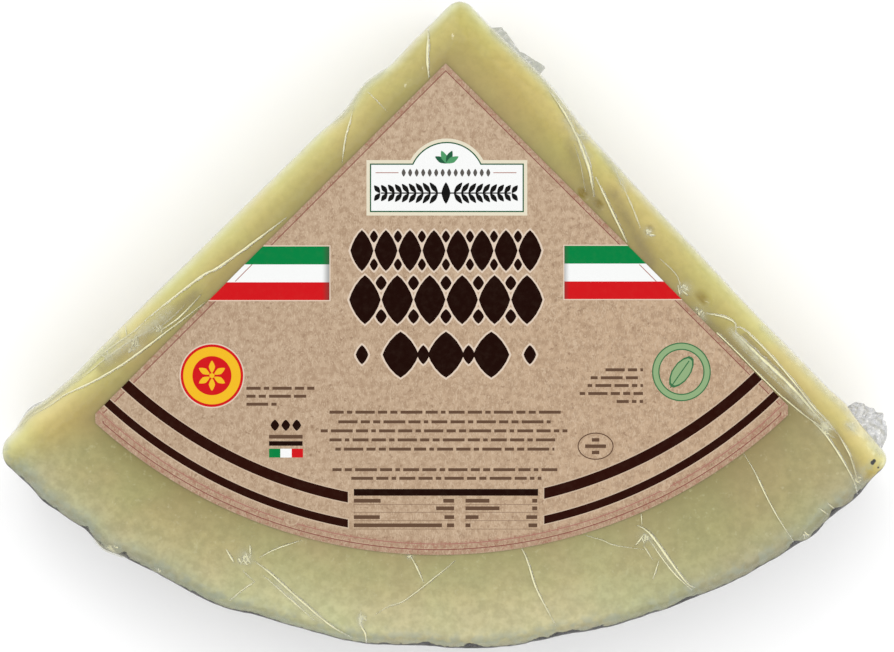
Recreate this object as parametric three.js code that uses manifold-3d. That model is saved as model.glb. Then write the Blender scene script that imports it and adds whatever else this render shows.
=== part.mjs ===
// A quarter wheel of hard sheep's-milk cheese, sealed in clear film, with a paper label on it.
//
// Millimetres, +Z up. The slab lies on its lower face. Seen from above, the two straight cuts
// meet at the tip, towards +Y, and the curved rind side faces -Y. The origin is the middle of
// the pack's box, on the surface that it lies on.
//
// A spot on the film is given by the side that it is nearest to, how far along that side it is,
// and its inset: how far in from that side's edge. A negative inset is a depth down the wall.

import * as THREE from "three";
import { mergeVertices } from "three/addons/utils/BufferGeometryUtils.js";
import Module from "manifold-3d";

const { degToRad, lerp, clamp } = THREE.MathUtils;

// The slab
const slabHeight = 45;
const wheelRadius = 151.2;
const wheelCentre = new THREE.Vector2(1.2, 73.3);
const cutsMeet = new THREE.Vector2(3.86, 79.17);
const leftCutAngle = degToRad(45.6);
const rightCutAngle = degToRad(42.4);
const tipRadius = 3.8;
const leftHeelRadius = 5;
const rightHeelRadius = 3.8;

// How far each edge rounds over, in plan and in height
const topEdge = { cut: 8.5, rind: 4, depth: 6 };
const baseEdge = { cut: 4, rind: 3, depth: 3.5 };

// Unevenness of the sides
const rindWave = { height: 0.4, pitch: degToRad(12.9), crest: degToRad(4.5) };
const leftSwells = [
  { at: 22.5, height: -0.3, spread: 4 },
  { at: 31.6, height: 0.75, spread: 4 },
  { at: 41, height: -0.55, spread: 4.5 },
  { at: 129, height: -0.35, spread: 6 },
  { at: 144.5, height: 1, spread: 4 },
];
const rightSwells = [
  { at: 29, height: 1.05, spread: 12 },
  { at: 86, height: 0.35, spread: 16 },
  { at: 134, height: 1.5, spread: 28 },
  { at: 135, height: 0.5, spread: 3.5 },
];
const rindSwells = [
  { at: degToRad(-46), height: -0.4, spread: degToRad(2) },
  { at: degToRad(-40), height: 0.8, spread: degToRad(1.4) },
  { at: degToRad(-35.5), height: -0.7, spread: degToRad(1.4) },
  { at: degToRad(-33), height: 0.7, spread: degToRad(1.2) },
  { at: degToRad(-18), height: -0.45, spread: degToRad(1.8) },
  { at: degToRad(0), height: 0.3, spread: degToRad(2) },
  { at: degToRad(17.5), height: -0.5, spread: degToRad(2.5) },
  { at: degToRad(26), height: 0.5, spread: degToRad(4) },
  { at: degToRad(29.5), height: -0.4, spread: degToRad(1.4) },
  { at: degToRad(35), height: 1.1, spread: degToRad(1.4) },
  { at: degToRad(42.9), height: -1.55, spread: degToRad(1.9) },
];
const wallHollow = { inset: 0.25, heights: [0.3, 0.62] };

// The paper label, a fan with a right angle at its apex. Its arc is flatter than one drawn
// round the apex.
const label = {
  apex: new THREE.Vector2(0.3, 62),
  halfAngle: Math.PI / 4,
  arcCentre: new THREE.Vector2(-1.7, 66.2),
  arcRadius: 121.3,
  cornerCut: 1.6,
  thickness: 0.3,
  clearance: 0.3,
};

// How finely round stretches are divided
const cornerSteps = 6;
const cutSteps = 36;
const rindSteps = 86;
const edgeSteps = 5;
const labelSteps = 48;

// A fold of film is a ridge with a sharp crest, sunk a little into the skin
const foldSink = 0.35;
const foldSpacing = 3.2;

// Slivers smaller than this, left where solids are joined, are smoothed away.
const smallestDetail = 0.01;

const wasm = await Module();
wasm.setup();

// ---------------------------------------------------------------- the three sides in plan

function bump(distance, swells) {
  let sum = 0;
  for (const swell of swells) {
    sum += swell.height * Math.exp(-(((distance - swell.at) / swell.spread) ** 2));
  }
  return sum;
}

function makeCut(clockwise, direction, inward, swells, heelRadius) {
  return {
    kind: "cut",
    clockwise,
    heelRadius,
    inward,
    direction,
    outwardAt: () => inward.clone().negate(),
    alongOf: (point) => point.clone().sub(cutsMeet).dot(direction),
    swellAt: (along) => bump(along, swells),
    edge: (along) => {
      const onLine = cutsMeet.clone().addScaledVector(direction, along);
      return onLine.addScaledVector(inward, -bump(along, swells));
    },
  };
}

// Along a cut, a place is its distance from where the cuts would meet. Seen from above, that
// runs clockwise round the slab on the right cut and counter-clockwise on the left one.
const leftCut = makeCut(
  false,
  new THREE.Vector2(-Math.sin(leftCutAngle), -Math.cos(leftCutAngle)),
  new THREE.Vector2(Math.cos(leftCutAngle), -Math.sin(leftCutAngle)),
  leftSwells,
  leftHeelRadius,
);
const rightCut = makeCut(
  true,
  new THREE.Vector2(Math.sin(rightCutAngle), -Math.cos(rightCutAngle)),
  new THREE.Vector2(-Math.cos(rightCutAngle), -Math.sin(rightCutAngle)),
  rightSwells,
  rightHeelRadius,
);

// Along the rind, a place is an angle in radians from -Y, positive towards +X.
const rind = {
  kind: "rind",
  clockwise: false,
  outwardAt: (angle) => new THREE.Vector2(Math.sin(angle), -Math.cos(angle)),
  alongOf: (point) => Math.atan2(point.x - wheelCentre.x, wheelCentre.y - point.y),
  swellAt: (angle) => {
    const turns = (angle - rindWave.crest) / rindWave.pitch;
    return rindWave.height * Math.cos(2 * Math.PI * turns) + bump(angle, rindSwells);
  },
  edge: (angle) => {
    const radius = wheelRadius + rind.swellAt(angle);
    return wheelCentre.clone().addScaledVector(rind.outwardAt(angle), radius);
  },
};

// ---------------------------------------------------------------- outlines of the slab

// The centre of a corner's arc, at one distance from both cuts
function tipCentre(cutInset) {
  const reach = cutInset + tipRadius;
  const halfAngle = (leftCutAngle + rightCutAngle) / 2;
  const middle = (rightCutAngle - leftCutAngle) / 2;
  const axis = new THREE.Vector2(Math.sin(middle), -Math.cos(middle));
  return cutsMeet.clone().addScaledVector(axis, reach / Math.sin(halfAngle));
}

// How far it is from a place inside a circle to that circle
function distanceToCircle(start, direction, centre, radius) {
  const fromCentre = start.clone().sub(centre);
  const half = fromCentre.dot(direction);
  return -half + Math.sqrt(half * half - fromCentre.lengthSq() + radius * radius);
}

// The centre of a heel's arc, at one distance from a cut and from the rind's circle
function heelCentre(cut, cutInset, rindInset) {
  const start = cutsMeet.clone().addScaledVector(cut.inward, cutInset + cut.heelRadius);
  const reach = wheelRadius - rindInset - cut.heelRadius;
  return start.addScaledVector(cut.direction, distanceToCircle(start, cut.direction, wheelCentre, reach));
}

// A heel's arc, with the unevenness of the rind in it
function heelArc(cut, centre, from, to) {
  return swollen(arcPoints(centre, cut.heelRadius, from, to, cornerSteps), rind);
}

function onSpoke(centre, radius, angle) {
  return new THREE.Vector2(Math.cos(angle), Math.sin(angle)).multiplyScalar(radius).add(centre);
}

function arcPoints(centre, radius, from, to, steps) {
  const points = [];
  for (let i = 0; i <= steps; i++) points.push(onSpoke(centre, radius, lerp(from, to, i / steps)));
  return points;
}

function between(a, b, steps) {
  const points = [];
  for (let i = 1; i < steps; i++) points.push(a.clone().lerp(b, i / steps));
  return points;
}

function swollen(points, side) {
  return points.map((point) => {
    const along = side.alongOf(point);
    return point.clone().addScaledVector(side.outwardAt(along), side.swellAt(along));
  });
}

// The slab's outline, counter-clockwise from the tip, drawn in by an inset on each kind of side.
// Every outline has the same number of points, so that outlines join up into a skin.
function slabOutline(cutInset, rindInset) {
  const tipPoint = tipCentre(cutInset);
  const leftHeel = heelCentre(leftCut, cutInset, rindInset);
  const rightHeel = heelCentre(rightCut, cutInset, rindInset);
  const rightOut = rightCutAngle;
  const leftOut = Math.PI - leftCutAngle;
  const leftRindOut = 1.5 * Math.PI + rind.alongOf(leftHeel);
  const rightRindOut = 1.5 * Math.PI + rind.alongOf(rightHeel);

  const tipArc = arcPoints(tipPoint, tipRadius, rightOut, leftOut, cornerSteps);
  const leftHeelArc = heelArc(leftCut, leftHeel, leftOut, leftRindOut);
  const rindArc = arcPoints(wheelCentre, wheelRadius - rindInset, leftRindOut, rightRindOut, rindSteps);
  const rightHeelArc = heelArc(rightCut, rightHeel, rightRindOut, rightOut + 2 * Math.PI);
  const leftLine = between(tipArc.at(-1), leftHeelArc[0], cutSteps);
  const rightLine = between(rightHeelArc.at(-1), tipArc[0], cutSteps);

  return [
    ...tipArc,
    ...swollen(leftLine, leftCut),
    ...swollen(leftHeelArc, leftCut),
    ...swollen(rindArc.slice(1, -1), rind),
    ...swollen(rightHeelArc, rightCut),
    ...swollen(rightLine, rightCut),
  ];
}

// ---------------------------------------------------------------- closed meshes

function toSolid(geometry) {
  geometry.deleteAttribute("normal");
  geometry.deleteAttribute("uv");
  const merged = mergeVertices(geometry, 1e-4);
  const mesh = new wasm.Mesh({
    numProp: 3,
    vertProperties: merged.attributes.position.array,
    triVerts: new Uint32Array(merged.index.array),
  });
  return new wasm.Manifold(mesh);
}

function solidOf(vertices, triangles) {
  const geometry = new THREE.BufferGeometry().setFromPoints(vertices);
  geometry.setIndex(triangles.flat());
  return toSolid(geometry);
}

function toGeometry(solid) {
  const mesh = solid.getMesh();
  const geometry = new THREE.BufferGeometry();
  geometry.setAttribute("position", new THREE.BufferAttribute(mesh.vertProperties, mesh.numProp));
  geometry.setIndex(new THREE.BufferAttribute(mesh.triVerts, 1));
  return geometry;
}

// Joins rings of equally many points into a closed skin, with a flat face over each end.
// The rings go upwards and each runs counter-clockwise seen from above.
function skinOver(rings) {
  const count = rings[0].length;
  const triangles = [];
  for (let level = 0; level + 1 < rings.length; level++) {
    for (let i = 0; i < count; i++) {
      const here = level * count + i;
      const next = level * count + ((i + 1) % count);
      triangles.push([here, next, next + count], [here, next + count, here + count]);
    }
  }
  const faceOver = (ring) => {
    const outline = ring.map(({ x, y }) => new THREE.Vector2(x, y));
    return THREE.ShapeUtils.triangulateShape(outline, []);
  };
  const last = (rings.length - 1) * count;
  for (const [a, b, c] of faceOver(rings[0])) triangles.push([c, b, a]);
  for (const [a, b, c] of faceOver(rings.at(-1))) triangles.push([last + a, last + b, last + c]);
  return solidOf(rings.flat(), triangles);
}

// ---------------------------------------------------------------- the slab in its tight film

function ringAt(height, cutInset, rindInset) {
  return slabOutline(cutInset, rindInset).map((point) => new THREE.Vector3(point.x, point.y, height));
}

// Rings round an edge that turns from a flat face to the wall
function edgeRings(edge, heightAt) {
  const rings = [];
  for (let i = 0; i <= edgeSteps; i++) {
    const turn = ((i / edgeSteps) * Math.PI) / 2;
    const inset = 1 - Math.cos(turn);
    rings.push(ringAt(heightAt(Math.sin(turn)), edge.cut * inset, edge.rind * inset));
  }
  return rings;
}

function slab() {
  const wallTop = slabHeight - topEdge.depth;
  const base = edgeRings(baseEdge, (rise) => baseEdge.depth * (1 - rise)).reverse();
  const wall = wallHollow.heights.map((share) => {
    const height = lerp(baseEdge.depth, wallTop, share);
    return ringAt(height, wallHollow.inset, wallHollow.inset);
  });
  const top = edgeRings(topEdge, (rise) => wallTop + topEdge.depth * rise);
  return skinOver([...base, ...wall, ...top]);
}

// A spot on the film near the top edge or on the wall, with the way that the film faces there
function spotOnFilm(side, along, inset) {
  const outward = side.outwardAt(along);
  const onTop = Math.max(inset, 0);
  const plan = side.edge(along).addScaledVector(outward, -onTop);
  const width = topEdge[side.kind];
  const turn = Math.acos(clamp(1 - onTop / width, 0, 1));
  const height = slabHeight - topEdge.depth * (1 - Math.sin(turn)) + Math.min(inset, 0);
  const facing = new THREE.Vector3(
    (outward.x * Math.cos(turn)) / width,
    (outward.y * Math.cos(turn)) / width,
    Math.sin(turn) / topEdge.depth,
  );
  return { point: new THREE.Vector3(plan.x, plan.y, height), facing: facing.normalize() };
}

// ---------------------------------------------------------------- folds in the film

const degrees = (pairs) => pairs.map(([angle, inset]) => [degToRad(angle), inset]);

// The folds that show from above, each a path of [along, inset], with its width and height
const leftFolds = [
  { path: [[12.1, 1], [17.1, 5.5], [20.1, 8.6]], width: 1.5, height: 0.8 },
  { path: [[40.1, 3.5], [44.1, 5.8], [48.1, 8.6]], width: 0.9, height: 0.5 },
  { path: [[67.1, 8.6], [83.1, 6.5], [103.1, 4], [126.1, 1]], width: 0.9, height: 0.5 },
  { path: [[95.1, 8], [116.1, 4], [127.1, 1.7]], width: 0.7, height: 0.4 },
  { path: [[95.1, 9.2], [109.1, 8], [121.1, 6.3], [137.1, 1.5], [149.1, 1.2]], width: 1, height: 0.6 },
  { path: [[131.1, 1.4], [141.1, 0.6], [150.1, 0.4]], width: 1, height: 0.6 },
];
const rightFolds = [
  { path: [[29, 0.8], [38, 1.8], [47, 4.6], [52, 6.8], [57, 9.4]], width: 1.5, height: 0.8 },
  { path: [[54, 6.6], [65, 9.5], [72, 10.8]], width: 1, height: 0.5 },
  { path: [[59, 2.8], [68, 5.4], [72, 6.5]], width: 0.8, height: 0.4 },
  { path: [[80, 8.7], [84, 8.7], [89, 10]], width: 0.8, height: 0.4 },
  { path: [[94, 10.2], [103, 9.8], [114, 9.4], [124, 8.7], [138, 7.6]], width: 0.9, height: 0.5 },
  { path: [[104, 7.1], [110, 6.1], [113, 7.1], [124, 5.8], [133, 6]], width: 1.4, height: 0.7 },
  { path: [[98, 8.6], [103, 5.5], [108, 4.4], [121, 4.8], [140, 4.8]], width: 1, height: 0.6 },
];
const rindFolds = [
  { path: degrees([[-19.9, 12.9], [-14.7, 8.5], [-10.7, 3.2], [-8.6, 0.8]]), width: 1.2, height: 0.6 },
  { path: degrees([[-18.6, 10.1], [-13.1, 4.8]]), width: 0.7, height: 0.4 },
  { path: degrees([[-19.4, 13.8], [-17.5, 18.1], [-15.6, 20.4]]), width: 0.7, height: 0.4 },
  { path: degrees([[-18.6, 9.9], [-20.8, 1.8]]), width: 0.7, height: 0.4 },
  { path: degrees([[-22.7, 13], [-21.8, 10.4]]), width: 0.9, height: 0.5 },
  { path: degrees([[-8.5, 7.5], [-8.4, 4.4], [-7.6, 0.8]]), width: 1.2, height: 0.6 },
  { path: degrees([[-4.1, 21.6], [-2.6, 15.2]]), width: 0.9, height: 0.5 },
  { path: degrees([[-6, 9], [-2.6, 15], [0.5, 21]]), width: 0.8, height: 0.5 },
  { path: degrees([[7.6, 22], [8.7, 11.8], [9.9, 3.3]]), width: 0.9, height: 0.5 },
  { path: degrees([[20.9, 19.9], [21.5, 15.5], [23.3, 2.3]]), width: 1.3, height: 0.7 },
  { path: degrees([[20.4, 18], [21.2, 10.5], [22.4, 3.6]]), width: 0.7, height: 0.4 },
  { path: degrees([[15.4, 21.4], [18.2, 17.8], [20.1, 15.5]]), width: 0.7, height: 0.4 },
  { path: degrees([[33.6, 13.5], [33.4, 6], [33.3, 1.1]]), width: 0.8, height: 0.4 },
  { path: degrees([[40.6, 11.5], [41.4, 7.1], [40.8, 1.9]]), width: 1, height: 0.5 },
  { path: degrees([[42, 10], [42.4, 6.9], [41.6, 2.2]]), width: 0.7, height: 0.4 },
];

// Folds down a wall, evenly spaced, each with its own slant, start and length
function wallFolds(from, to, count) {
  const spacing = (to - from) / count;
  const mostLean = 0.6 * spacing;
  const highest = 1;
  const shortest = 13;
  const stagger = 4;
  const folds = [];
  for (let i = 0; i < count; i++) {
    const along = from + (i + 0.5) * spacing;
    const lean = mostLean * Math.sin(2.4 * i + 1);
    const start = highest + stagger * (i % 3);
    const end = start + shortest + stagger * ((i * 3) % 4);
    const path = [[along, -start], [along + 0.6 * lean, -(start + end) / 2], [along + lean, -end]];
    folds.push({ path, width: 0.9, height: 0.45 });
  }
  return folds;
}

// A ridge along a path on one side's film, low at its two ends
function fold(side, { path, width, height }) {
  const route = new THREE.SplineCurve(path.map(([along, inset]) => new THREE.Vector2(along, inset)));
  const spotAt = (share) => {
    const place = route.getPoint(clamp(share, 0, 1));
    return spotOnFilm(side, place.x, place.y);
  };
  const endHeight = 0.3;
  const nearby = 0.01;
  const length = spotAt(0).point.distanceTo(spotAt(1).point);
  const steps = Math.max(3, Math.round(length / foldSpacing));
  const vertices = [];
  const triangles = [];
  for (let i = 0; i <= steps; i++) {
    const share = i / steps;
    const { point, facing } = spotAt(share);
    const ahead = spotAt(share + nearby).point.sub(spotAt(share - nearby).point);
    const across = new THREE.Vector3().crossVectors(facing, ahead).normalize();
    const swell = lerp(endHeight, 1, Math.sin(Math.PI * share));
    const foot = point.clone().addScaledVector(facing, -foldSink);
    vertices.push(
      foot.clone().addScaledVector(across, width / 2),
      point.clone().addScaledVector(facing, height * swell),
      foot.clone().addScaledVector(across, -width / 2),
    );
    if (i === steps) break;
    for (let k = 0; k < 3; k++) {
      const here = 3 * i + k;
      const next = 3 * i + ((k + 1) % 3);
      triangles.push([here, next, next + 3], [here, next + 3, here + 3]);
    }
  }
  const end = 3 * steps;
  triangles.push([2, 1, 0], [end, end + 1, end + 2]);
  return solidOf(vertices, triangles);
}

function foldsOn(side, folds) {
  return folds.map((shape) => fold(side, shape));
}

// ---------------------------------------------------------------- loose ears of film

// A crumpled ear of film that stands out from the wall. Its rim is uneven and its faces ripple.
function ear(side, { from, to, reach, level, thickness, ripple, teeth, scallopDepth, roundness }) {
  const [start, end] = side.clockwise ? [from, to] : [to, from];
  const acrossSteps = 12;
  const outSteps = 4;
  const root = -2;
  const endDepth = 0.8;
  const rimThinning = 0.4;
  const vertices = [];
  const triangles = [];
  const rim = (share) => {
    const scallop = 1 + scallopDepth * Math.cos(teeth * Math.PI * share);
    return (reach + endDepth) * Math.sin(Math.PI * share) ** roundness * scallop - endDepth;
  };
  const spot = (i, j, half) => {
    const share = i / acrossSteps;
    const out = j / outSteps;
    const along = lerp(start, end, share);
    const plan = side.edge(along).addScaledVector(side.outwardAt(along), root + out * (rim(share) - root));
    const wave = ripple * out * Math.sin(teeth * 2 * Math.PI * share + 3 * out);
    const body = thickness * (1 - rimThinning * out);
    return new THREE.Vector3(plan.x, plan.y, level + wave + half * body);
  };
  const row = outSteps + 1;
  const layer = (acrossSteps + 1) * row;
  for (const half of [-0.5, 0.5]) {
    for (let i = 0; i <= acrossSteps; i++) {
      for (let j = 0; j <= outSteps; j++) vertices.push(spot(i, j, half));
    }
  }
  const quad = (a, b, c, d) => triangles.push([a, b, c], [a, c, d]);
  const at = (i, j, top) => top * layer + i * row + j;
  for (let i = 0; i < acrossSteps; i++) {
    for (let j = 0; j < outSteps; j++) {
      quad(at(i, j, 1), at(i + 1, j, 1), at(i + 1, j + 1, 1), at(i, j + 1, 1));
      quad(at(i, j, 0), at(i, j + 1, 0), at(i + 1, j + 1, 0), at(i + 1, j, 0));
    }
    quad(at(i, 0, 0), at(i + 1, 0, 0), at(i + 1, 0, 1), at(i, 0, 1));
    quad(at(i, outSteps, 0), at(i, outSteps, 1), at(i + 1, outSteps, 1), at(i + 1, outSteps, 0));
  }
  for (let j = 0; j < outSteps; j++) {
    quad(at(0, j, 0), at(0, j, 1), at(0, j + 1, 1), at(0, j + 1, 0));
    quad(at(acrossSteps, j, 0), at(acrossSteps, j + 1, 0), at(acrossSteps, j + 1, 1), at(acrossSteps, j, 1));
  }
  return solidOf(vertices, triangles);
}

function ears() {
  const tuft = { level: 34, thickness: 2.4, scallopDepth: 0.1, roundness: 0.4 };
  const flap = { level: 33, thickness: 1.2, scallopDepth: 0.22, roundness: 0.2 };
  return [
    ear(rightCut, { ...tuft, from: 136.5, to: 149.6, reach: 5.2, ripple: 1.4, teeth: 3 }),
    ear(rightCut, { ...flap, from: 10.8, to: 27, reach: 2.4, ripple: 0.8, teeth: 2 }),
    ear(leftCut, { ...flap, from: 140, to: 151, reach: 0.8, ripple: 0.6, teeth: 3 }),
  ];
}

// ---------------------------------------------------------------- the label

// The label's outline, grown by a margin on every side, with its two corners clipped
function labelPlate(margin, depth) {
  const { halfAngle, arcCentre, cornerCut } = label;
  const arcRadius = label.arcRadius + margin;
  const apex = label.apex.clone().add(new THREE.Vector2(0, margin / Math.sin(halfAngle)));
  const down = 1.5 * Math.PI;
  const corner = (side) => {
    const direction = onSpoke(new THREE.Vector2(), 1, down + side * halfAngle);
    const reach = distanceToCircle(apex, direction, arcCentre, arcRadius);
    const point = apex.clone().addScaledVector(direction, reach);
    return {
      onEdge: point.clone().addScaledVector(direction, -cornerCut),
      angle: point.sub(arcCentre).angle() - (side * cornerCut) / arcRadius,
    };
  };
  const left = corner(-1);
  const right = corner(1);
  const arc = arcPoints(arcCentre, arcRadius, left.angle, right.angle, labelSteps);
  const shape = new THREE.Shape([apex, left.onEdge, ...arc, right.onEdge]);
  return new THREE.ExtrudeGeometry(shape, { depth, bevelEnabled: false });
}

// The space over the label, which no fold may enter. It starts a little under the slab's top.
function spaceOverLabel() {
  const below = 2;
  const above = 4;
  return toSolid(labelPlate(label.clearance, below + above)).translate([0, 0, slabHeight - below]);
}

// ---------------------------------------------------------------- the model

function packGeometry() {
  const folds = [
    ...foldsOn(leftCut, leftFolds),
    ...foldsOn(rightCut, rightFolds),
    ...foldsOn(rind, rindFolds),
    ...foldsOn(leftCut, wallFolds(10, 135, 7)),
    ...foldsOn(rightCut, wallFolds(32, 134, 5)),
    ...foldsOn(rind, wallFolds(degToRad(-41), degToRad(41), 10)),
  ];
  const clearFolds = wasm.Manifold.union(folds).subtract(spaceOverLabel());
  const joined = wasm.Manifold.union([slab(), clearFolds, ...ears()]);
  return toGeometry(joined.asOriginal().simplify(smallestDetail));
}

const pack = new THREE.Mesh(
  packGeometry(),
  new THREE.MeshStandardMaterial({ color: 0xc4b87c, roughness: 0.3, metalness: 0 }),
);
pack.name = "pack";

const paperLabel = new THREE.Mesh(
  labelPlate(0, label.thickness),
  new THREE.MeshStandardMaterial({ color: 0xc0a68b, roughness: 0.8, metalness: 0 }),
);
paperLabel.name = "label";
paperLabel.position.z = slabHeight;

const cheese = new THREE.Group();
cheese.add(pack, paperLabel);

// The middle of the pack's box goes over the origin.
const middle = new THREE.Box3().setFromObject(cheese).getCenter(new THREE.Vector3());
cheese.position.set(-middle.x, -middle.y, 0);

export default cheese;
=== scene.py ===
"""A quarter wheel of hard sheep's-milk cheese in tight clear film, with a printed paper label.

Lengths are in millimetres until a mesh is made, which is in metres. Seen from above, the two
straight cuts meet at the tip, towards +Y, and the curved rind side faces -Y. A spot near an edge
is given by its side, how far along that side it is, and its inset from that side's edge: along a
cut that is the distance from where the cuts would meet, and along the rind it is an angle in
degrees from -Y, positive towards +X. A negative inset is a depth down the wall.
"""

import math

import bpy
import numpy as np
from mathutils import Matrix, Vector, geometry, noise


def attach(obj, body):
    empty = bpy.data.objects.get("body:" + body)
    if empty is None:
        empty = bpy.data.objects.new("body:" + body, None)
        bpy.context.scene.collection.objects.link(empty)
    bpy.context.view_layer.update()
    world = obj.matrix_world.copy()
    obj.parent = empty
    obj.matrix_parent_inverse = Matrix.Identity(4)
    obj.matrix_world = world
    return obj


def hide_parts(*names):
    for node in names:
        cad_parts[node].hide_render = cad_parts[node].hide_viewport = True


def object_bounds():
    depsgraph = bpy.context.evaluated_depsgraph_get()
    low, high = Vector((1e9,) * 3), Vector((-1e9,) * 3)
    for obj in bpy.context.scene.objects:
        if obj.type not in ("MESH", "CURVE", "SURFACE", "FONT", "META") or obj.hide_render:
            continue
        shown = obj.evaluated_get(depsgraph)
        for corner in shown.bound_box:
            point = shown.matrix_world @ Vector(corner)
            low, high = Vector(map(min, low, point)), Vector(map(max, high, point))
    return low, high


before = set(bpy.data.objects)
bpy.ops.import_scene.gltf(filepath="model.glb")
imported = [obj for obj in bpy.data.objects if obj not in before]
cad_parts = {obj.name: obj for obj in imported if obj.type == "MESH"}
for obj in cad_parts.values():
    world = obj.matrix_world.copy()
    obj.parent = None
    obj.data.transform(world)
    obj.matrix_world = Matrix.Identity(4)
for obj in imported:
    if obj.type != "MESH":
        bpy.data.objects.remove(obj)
cad_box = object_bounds()

MM = 0.001
# The frame's origin is the middle of the pack's box, which is this far from the drawing's own.
ORIGIN = np.array([0.326, -0.327])

# ---- the slab's measures

SLAB_HEIGHT = 45.0
WHEEL_RADIUS = 151.2
WHEEL_CENTRE = np.array([1.2, 73.3])
CUTS_MEET = np.array([3.86, 79.17])
LEFT_CUT_ANGLE = math.radians(45.6)
RIGHT_CUT_ANGLE = math.radians(42.4)
TIP_RADIUS = 3.8
LEFT_HEEL_RADIUS = 5.0
RIGHT_HEEL_RADIUS = 3.8
TOP_EDGE = {"cut": 8.5, "rind": 4.0, "depth": 6.0}
BASE_EDGE = {"cut": 4.0, "rind": 3.0, "depth": 3.5}
WALL_HOLLOW = 0.25
WALL_TOP = SLAB_HEIGHT - TOP_EDGE["depth"]
RIND_WAVE = {"height": 0.4, "pitch": 12.9, "crest": 4.5}
LEFT_SWELLS = [(22.5, -0.3, 4), (31.6, 0.75, 4), (41, -0.55, 4.5), (129, -0.35, 6), (144.5, 1.0, 4)]
RIGHT_SWELLS = [(29, 1.05, 12), (86, 0.35, 16), (134, 1.5, 28), (135, 0.5, 3.5)]
RIND_SWELLS = [
    (-46, -0.4, 2), (-40, 0.8, 1.4), (-35.5, -0.7, 1.4), (-33, 0.7, 1.2), (-18, -0.45, 1.8),
    (0, 0.3, 2), (17.5, -0.5, 2.5), (26, 0.5, 4), (29.5, -0.4, 1.4), (35, 1.1, 1.4), (42.9, -1.55, 1.9),
]

LABEL_APEX = np.array([0.3, 62.0])
LABEL_HALF_ANGLE = math.radians(45)
LABEL_ARC_CENTRE = np.array([-1.7, 66.2])
LABEL_ARC_RADIUS = 121.3
LABEL_CORNER_CUT = 1.6
LABEL_ARC_STEPS = 160
LABEL_THICKNESS = 0.3

FILM_GAP = 0.12  # the cheese lies this far inside the film

# ---- the camera, over the slab

CAMERA_HEIGHT = 0.76
VIEW_PLANE = 0.04  # the height at which one pixel of the photograph is 0.24 mm
VIEW_WIDTH = 894 * 0.24 * MM
VIEW_MIDDLE = (0.000275, -0.00024)
SENSOR = 36.0

camera_data = bpy.data.cameras.new("camera")
camera_data.sensor_width = SENSOR
camera_data.lens = SENSOR * (CAMERA_HEIGHT - VIEW_PLANE) / VIEW_WIDTH
camera = bpy.data.objects.new("camera", camera_data)
camera.location = (*VIEW_MIDDLE, CAMERA_HEIGHT)
bpy.context.scene.collection.objects.link(camera)
bpy.context.scene.camera = camera
bpy.context.scene.view_settings.view_transform = "Standard"

# ---- the three sides in plan


def bump(at, swells):
    return sum(height * np.exp(-(((at - centre) / spread) ** 2)) for centre, height, spread in swells)


def smoothstep(low, high, value):
    share = np.clip((value - low) / (high - low), 0, 1)
    return share * share * (3 - 2 * share)


class Cut:
    """A straight side of the slab."""

    edge_kind = "cut"

    def __init__(self, direction, inward, swells, heel_radius):
        self.direction = np.array(direction)
        self.inward = np.array(inward)
        self.swells = swells
        self.heel_radius = heel_radius

    def outward(self, along):
        return np.broadcast_to(-self.inward, (*np.shape(along), 2))

    def edge(self, along):
        along = np.asarray(along, float)
        line = CUTS_MEET + along[..., None] * self.direction
        return line - bump(along, self.swells)[..., None] * self.inward

    def coordinates(self, plan):
        offset = plan - CUTS_MEET
        along = offset @ self.direction
        return along, offset @ self.inward + bump(along, self.swells)


class Rind:
    """The curved side of the slab."""

    edge_kind = "rind"

    def outward(self, angle):
        turn = np.radians(np.asarray(angle, float))
        return np.stack([np.sin(turn), -np.cos(turn)], -1)

    def swell(self, angle):
        turns = (angle - RIND_WAVE["crest"]) / RIND_WAVE["pitch"]
        return RIND_WAVE["height"] * np.cos(2 * np.pi * turns) + bump(angle, RIND_SWELLS)

    def edge(self, angle):
        angle = np.asarray(angle, float)
        return WHEEL_CENTRE + (WHEEL_RADIUS + self.swell(angle))[..., None] * self.outward(angle)

    def coordinates(self, plan):
        offset = plan - WHEEL_CENTRE
        angle = np.degrees(np.arctan2(offset[..., 0], -offset[..., 1]))
        return angle, WHEEL_RADIUS + self.swell(angle) - np.linalg.norm(offset, axis=-1)


LEFT = Cut(
    (-math.sin(LEFT_CUT_ANGLE), -math.cos(LEFT_CUT_ANGLE)),
    (math.cos(LEFT_CUT_ANGLE), -math.sin(LEFT_CUT_ANGLE)),
    LEFT_SWELLS,
    LEFT_HEEL_RADIUS,
)
RIGHT = Cut(
    (math.sin(RIGHT_CUT_ANGLE), -math.cos(RIGHT_CUT_ANGLE)),
    (-math.cos(RIGHT_CUT_ANGLE), -math.sin(RIGHT_CUT_ANGLE)),
    RIGHT_SWELLS,
    RIGHT_HEEL_RADIUS,
)
RIND = Rind()


def tip_centre(cut_inset):
    half_angle = (LEFT_CUT_ANGLE + RIGHT_CUT_ANGLE) / 2
    middle = (RIGHT_CUT_ANGLE - LEFT_CUT_ANGLE) / 2
    reach = (cut_inset + TIP_RADIUS) / math.sin(half_angle)
    return CUTS_MEET + reach * np.array([math.sin(middle), -math.cos(middle)])


def distance_to_circle(start, direction, centre, radius):
    offset = start - centre
    half = offset @ direction
    return -half + math.sqrt(half * half - offset @ offset + radius * radius)


def heel_centre(cut, cut_inset, rind_inset):
    start = CUTS_MEET + (cut_inset + cut.heel_radius) * cut.inward
    reach = WHEEL_RADIUS - rind_inset - cut.heel_radius
    return start + distance_to_circle(start, cut.direction, WHEEL_CENTRE, reach) * cut.direction


def on_arc(centre, radius, start, end, steps):
    turn = np.linspace(start, end, steps + 1)
    return centre + radius * np.stack([np.cos(turn), np.sin(turn)], -1)


def between(a, b, steps):
    return a + (b - a) * np.linspace(0, 1, steps + 1)[1:-1, None]


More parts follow.
